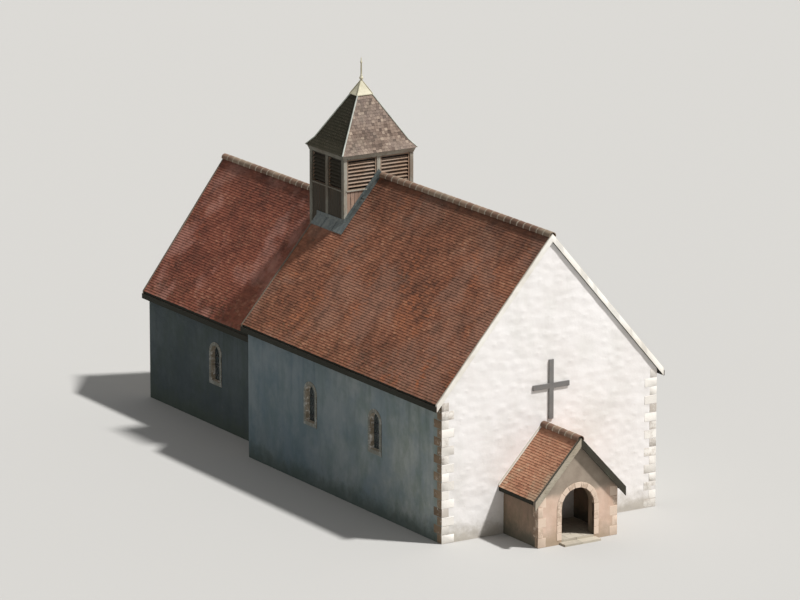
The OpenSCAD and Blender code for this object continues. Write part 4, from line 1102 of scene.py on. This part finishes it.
# One face's shingles: w runs along the face, s up it. The ends are cut to the hips at each height
def shingleFace(reach, otherReach, sign, alongX):
    values = spire
    z = np.linspace(0, values["rise"], 400)
    depth = spireHalf(z, otherReach)
    s = np.concatenate([[0], np.cumsum(np.hypot(np.diff(z), np.diff(depth)))])
    rows = int((s[-1] - values["underCap"]) / values["gauge"])
    boxes, tones = [], []
    for row in range(rows):
        footS = row * values["gauge"]
        headS = footS + values["shingleL"]
        footZ, headZ = np.interp([footS, headS], s, z)
        halfFoot, halfHead = float(spireHalf(footZ, reach)), float(spireHalf(headZ, reach))
        count = int(2 * halfFoot / values["shingleW"]) + 3
        widths = rng.uniform(*values["widths"], count) * values["shingleW"]
        edge = -halfFoot - values["shingleW"] * (0.5 + 0.5 * (row % 2)) + np.cumsum(widths)
        left, right = edge[:-1], edge[1:] - values["gap"]
        kept = (right > values["leastShown"] - halfFoot) & (left < halfFoot - values["leastShown"])
        left, right = left[kept], right[kept]
        n = left.size
        slip = rng.normal(0, values["slip"], n)
        lift = np.abs(rng.normal(0, values["lift"], n))
        corners = np.empty((n, 2, 2, 2, 3))
        ends = ((footS + slip, halfFoot, lift * 0.5), (np.full(n, headS), halfHead, -values["tuck"]))
        for i, (sAt, half, rise) in enumerate(ends):
            zAt = np.interp(sAt, s, z)
            dAt = np.interp(sAt, s, depth)
            for j, w in enumerate((left, right)):
                w = np.clip(w, -half, half)
                for k in range(2):
                    out = sign * (dAt + rise - k * values["shingleT"] - values["sink"])
                    x, y = (w, out) if alongX else (out, w)
                    corners[:, i, j, k] = xyz(x, turretMid + y, eavesZ + zAt)
        boxes.append(corners)
        tones.append(np.clip(rng.normal(0.5, values["spread"], n), 0, 1))
    return boxShape(np.concatenate(boxes), np.concatenate(tones))


shingles = [shingleFace(spireX, spireY, sign, True) for sign in (-1, 1)]
shingles += [shingleFace(spireY, spireX, sign, False) for sign in (-1, 1)]
addPiece("spire_shingles", shingles, wooden["shingles"])


# A round rod along a path: centre + radius (cos t side + sin t other)
def rodShape(path, side, other, radius, sides):
    turn = np.linspace(0, 2 * pi, sides, endpoint=False)[None, :, None]
    return loftShape(path[:, None] + radius * (np.cos(turn) * np.array(side) + np.sin(turn) * np.array(other)))


# Rolls up the four corners, whose path is the half widths x and y at each height z
def cornerRolls(x, y, z, radius):
    return [rodShape(xyz(sx * x, turretMid + sy * y, z), [sx * 0.7071, sy * 0.7071, 0.3],
                     [-sy * 0.7071, sx * 0.7071, 0.0], radius, 8) for sx in (-1, 1) for sy in (-1, 1)]


rollZ = np.array([0.02, 0.15, 0.30, 0.6, 1.0, 1.5, 1.95])
hips = cornerRolls(spireHalf(rollZ, spireX) - 0.006, spireHalf(rollZ, spireY) - 0.006, eavesZ + rollZ, 0.028)
addPiece("spire_hips", hips, paleLead, crease=60)

# Cap: four dressed sheets over the point, with a welted foot and rolled hips
capLow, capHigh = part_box("turret_cap")
capX, capY, capRise = capHigh.x, (capHigh.y - capLow.y) / 2, capHigh.z - capLow.z
share = np.array([0.0, 0.02, 0.06, 0.10, 0.4, 0.7, 0.9, 0.97])
swell = np.array([0.0, 0.004, 0.004, -0.004, -0.008, -0.005, 0.002, 0.006])
capRings = []
for part, more in zip(share, swell):
    x, y = capX * (1 - part) + more - 0.004, capY * (1 - part) + more - 0.004
    ring = [(-x, -y), (0, -y - 0.003), (x, -y), (x + 0.003, 0), (x, y), (0, y + 0.003), (-x, y), (-x - 0.003, 0)]
    capRings.append([(px, turretMid + py, capLow.z + capRise * part) for px, py in ring])
capZ = np.array([0.03, 0.5, 0.93])
capHips = cornerRolls(capX * (1 - capZ), capY * (1 - capZ), capLow.z + capRise * capZ, 0.012)
addPiece("cap_sheets", [loftShape(np.array(capRings)), *capHips], capSheet, ["turret_cap"])


# Finial: a profile of (radius, height) turned about the spire's axis
def turned(profile):
    radius, z = np.array(profile).T[:, :, None]
    angle = np.linspace(0, 2 * pi, 24, endpoint=False)
    return loftShape(xyz(radius * np.cos(angle), turretMid + radius * np.sin(angle), z))


# Its ball, then (radius, height) of the rod's rings over the ball's middle, and of those below the tip
finial = {"ball": 0.075, "ballZ": 0.0375,
          "overBall": [(0.030, 0.078), (0.046, 0.092), (0.046, 0.104), (0.032, 0.118), (0.033, 0.16)],
          "underTip": [(0.027, 0.24), (0.044, 0.215), (0.044, 0.185), (0.024, 0.16), (0.016, 0.05), (0.002, 0.001)]}
ballZ, tipZ = capHigh.z + finial["ballZ"], high("turret_finial", 2)
around = np.linspace(-pi / 2 + 0.35, pi / 2 - 0.25, 13)
ball = [(finial["ball"] * cos(a), ballZ + finial["ball"] * sin(a)) for a in around]
rod = [(r, ballZ + up) for r, up in finial["overBall"]] + [(r, tipZ - down) for r, down in finial["underTip"]]
addPiece("finial", turned(ball + rod), capSheet, ["turret_finial"])

# Lead apron: sheets dressed over the tiles round the turret's foot, lapped, with an upstand against the boards
apron = {"proud": 0.010, "wave": 0.004, "thick": 0.028, "sheet": 0.62, "welt": 0.019, "weltUp": 0.017,
         "upstand": 0.13}


# A sheet that lies over the roof, a little waved
def apronSheet(x0, x1, y0, y1, rows, columns, roof, seed):
    x, y = np.meshgrid(np.linspace(x0, x1, rows), np.linspace(y0, y1, columns), indexing="ij")
    z = surfaceZ(roof, x) + apron["proud"] + apron["wave"] * waves(x, y, 0.4, seed)
    return slabShape(xyz(x, y, z), xyz(x, y, z - apron["thick"]))


# A strip of sheets along one face of the turret, with a raised welt at each joint
def lapped(x0, x1, y0, y1, roof, alongX, seed):
    length = (x1 - x0) if alongX else (y1 - y0)
    edge = np.linspace(0, length, max(1, round(length / apron["sheet"])) + 1)
    at = np.linspace(0, 1, 7)
    made = []
    for i, (a, b) in enumerate(zip(edge[:-1], edge[1:])):
        if alongX:
            made.append(apronSheet(x0 + a, x0 + b, y0, y1, 9, 5, roof, seed + i))
            x, y = np.full(7, x0 + a), y0 + at * (y1 - y0)
        else:
            made.append(apronSheet(x0, x1, y0 + a, y0 + b, 5, 9, roof, seed + i))
            x, y = x0 + at * (x1 - x0), np.full(7, y0 + a)
        if i > 0:
            path = xyz(x, y, surfaceZ(roof, x) + apron["weltUp"])
            made.append(rodShape(path, [1, 0, 0] if alongX else [0, 1, 0], [0, 0, 1], apron["welt"], 6))
    return made


edgeX, startY, endY = apronHigh.x, apronLow.y, apronHigh.y
footY, headY = turretMid - turretY, turretMid + turretY
sheets = []
for side in (-1, 1):
    xs = sorted((side * (turretX - 0.01), side * edgeX))
    sheets += lapped(*xs, startY, step - 0.004, naveRoof, False, 20 + side)
    sheets += lapped(*xs, step + 0.004, endY, chancelRoof, False, 30 + side)
    xs = sorted((0.0, side * turretX))
    sheets += lapped(*xs, startY, footY + 0.01, naveRoof, True, 40 + side)
    sheets += lapped(*xs, headY - 0.01, endY, chancelRoof, True, 50 + side)
addPiece("lead_apron", sheets, lead, ["turret_apron"])


# Upstands: thin strips that follow the roof along each face of the turret
def upstand(start, end, faceAt, outSign, alongX):
    at = np.linspace(start, end, 25)[:, None]
    top = apron["upstand"]
    out, z = np.array([(0.0, -0.02), (0.012, -0.02), (0.012, top - 0.008), (0.006, top), (0.0, top)]).T
    fixed = faceAt + outSign * out
    x, y = (at, fixed) if alongX else (fixed, at)
    return loftShape(xyz(x, y, roofTop(x, y) + z))


spansX = [(-turretX, 0.0), (0.0, turretX)]
spansY = [(footY - 0.012, step - 0.002), (step + 0.002, headY + 0.012)]
addPiece("lead_upstands", roundFaces(upstand, spansY, spansX, 0.0), lead)
print("turret clad")

# Mortar fillet where the porch roof meets the west wall
filletRing = [(westY + 0.01, -0.02), (westY - 0.055, -0.006), (westY - 0.05, 0.012), (westY - 0.012, 0.065),
              (westY + 0.01, 0.075)]
addPiece("porch_fillet", gableRim(porchRoof, filletRing, np.linspace(-0.985, 0.985, 121), 0.004, 9), mortar)


# Finishes of the model's own nodes
carried = {
    washed["west"]: ["west_wall_north", "west_wall_south", "west_gable"],
    washed["nave"]: ["nave_north_wall", "nave_south_wall", "chancel_arch_piers", "east_gable"],
    washed["chancel"]: ["chancel_north_wall", "chancel_south_wall", "chancel_east_wall"],
    washed["porch"]: ["porch_piers", "porch_north_wall", "porch_south_wall", "porch_gable"],
    flags: ["nave_floor", "chancel_floor"],
    stepStone: ["porch_floor"],
    stony["opening"]: ["doorway_jambs", "doorway_arch"],
    wooden["frames"]: ["tie_beams", "king_posts", "principal_rafters"],
    wooden["eaves"]: ["eaves_boards"],
    wooden["louvres"]: ["turret_louvres"],
    iron: ["door_ironwork"],
    glass: ["window_glass"],
}
for finish, names in carried.items():
    for name in names:
        node = nodes[name]
        for slotIndex in range(len(node.material_slots)):
            node.material_slots[slotIndex].material = finish.material
print("model dressed")

# Studio: a pale floor, a soft lamp from the south-west and pale light all round
studio = {"floor": (178, 176, 172), "floorHalf": 420.0, "sun": 4.6, "sunAngle": 4, "sunTilt": 33, "sunTurn": 44.5,
          "fill": 0.30, "fillColour": (0.96, 0.98, 1.0)}
size = studio["floorHalf"]
floorMesh = bpy.data.meshes.new("studio_floor")
corners = [(-size, -size, -0.002), (size, -size, -0.002), (size, size, -0.002), (-size, size, -0.002)]
floorMesh.from_pydata(corners, [], [(0, 1, 2, 3)])
floor = bpy.data.objects.new("studio_floor", floorMesh)
scene.collection.objects.link(floor)
floorFinish = Finish("studio_floor")
floorFinish.done(Base_Color=tint(*studio["floor"]), Roughness=0.95)
floorMesh.materials.append(floorFinish.material)

sun = bpy.data.objects.new("key", bpy.data.lights.new("key", "SUN"))
sun.data.energy, sun.data.angle = studio["sun"], radians(studio["sunAngle"])
sun.rotation_euler = (radians(studio["sunTilt"]), 0, radians(studio["sunTurn"]))
scene.collection.objects.link(sun)

world = bpy.data.worlds.new("studio_light")
world.use_nodes = True
scene.world = world
tree = world.node_tree
tree.nodes.clear()
path, seen, light, mixer, output = [tree.nodes.new("ShaderNode" + kind) for kind in (
    "LightPath", "Background", "Background", "MixShader", "OutputWorld")]
seen.inputs[0].default_value, seen.inputs[1].default_value = (1, 1, 1, 1), 1.0
light.inputs[0].default_value, light.inputs[1].default_value = (*studio["fillColour"], 1), studio["fill"]
shown = path.outputs["Is Camera Ray"]  # the camera, gloss and glass see the white; all else the soft fill
for ray in ("Is Glossy Ray", "Is Transmission Ray"):
    either = tree.nodes.new("ShaderNodeMath")
    either.operation = "MAXIMUM"
    tree.links.new(shown, either.inputs[0])
    tree.links.new(path.outputs[ray], either.inputs[1])
    shown = either.outputs[0]
tree.links.new(shown, mixer.inputs[0])
tree.links.new(light.outputs[0], mixer.inputs[1])
tree.links.new(seen.outputs[0], mixer.inputs[2])
tree.links.new(mixer.outputs[0], output.inputs[0])
scene.view_settings.view_transform = "Standard"

# Camera: the photograph's own place and height, aimed at the chapel through a longer lens
viewpoint = {"place": (-101.732, -163.076, 54.161), "aim": (0.3, 0.4, 5.9), "lens": 245.0}
cameraData = bpy.data.cameras.new("camera")
cameraData.lens, cameraData.sensor_width = viewpoint["lens"], 36.0
cameraData.clip_start, cameraData.clip_end = 1.0, 2000.0
camera = bpy.data.objects.new("camera", cameraData)
camera.location = viewpoint["place"]
camera.rotation_mode = "QUATERNION"
camera.rotation_quaternion = (Vector(viewpoint["aim"]) - Vector(viewpoint["place"])).to_track_quat("-Z", "Y")
scene.collection.objects.link(camera)
scene.camera = camera
print("studio ready")
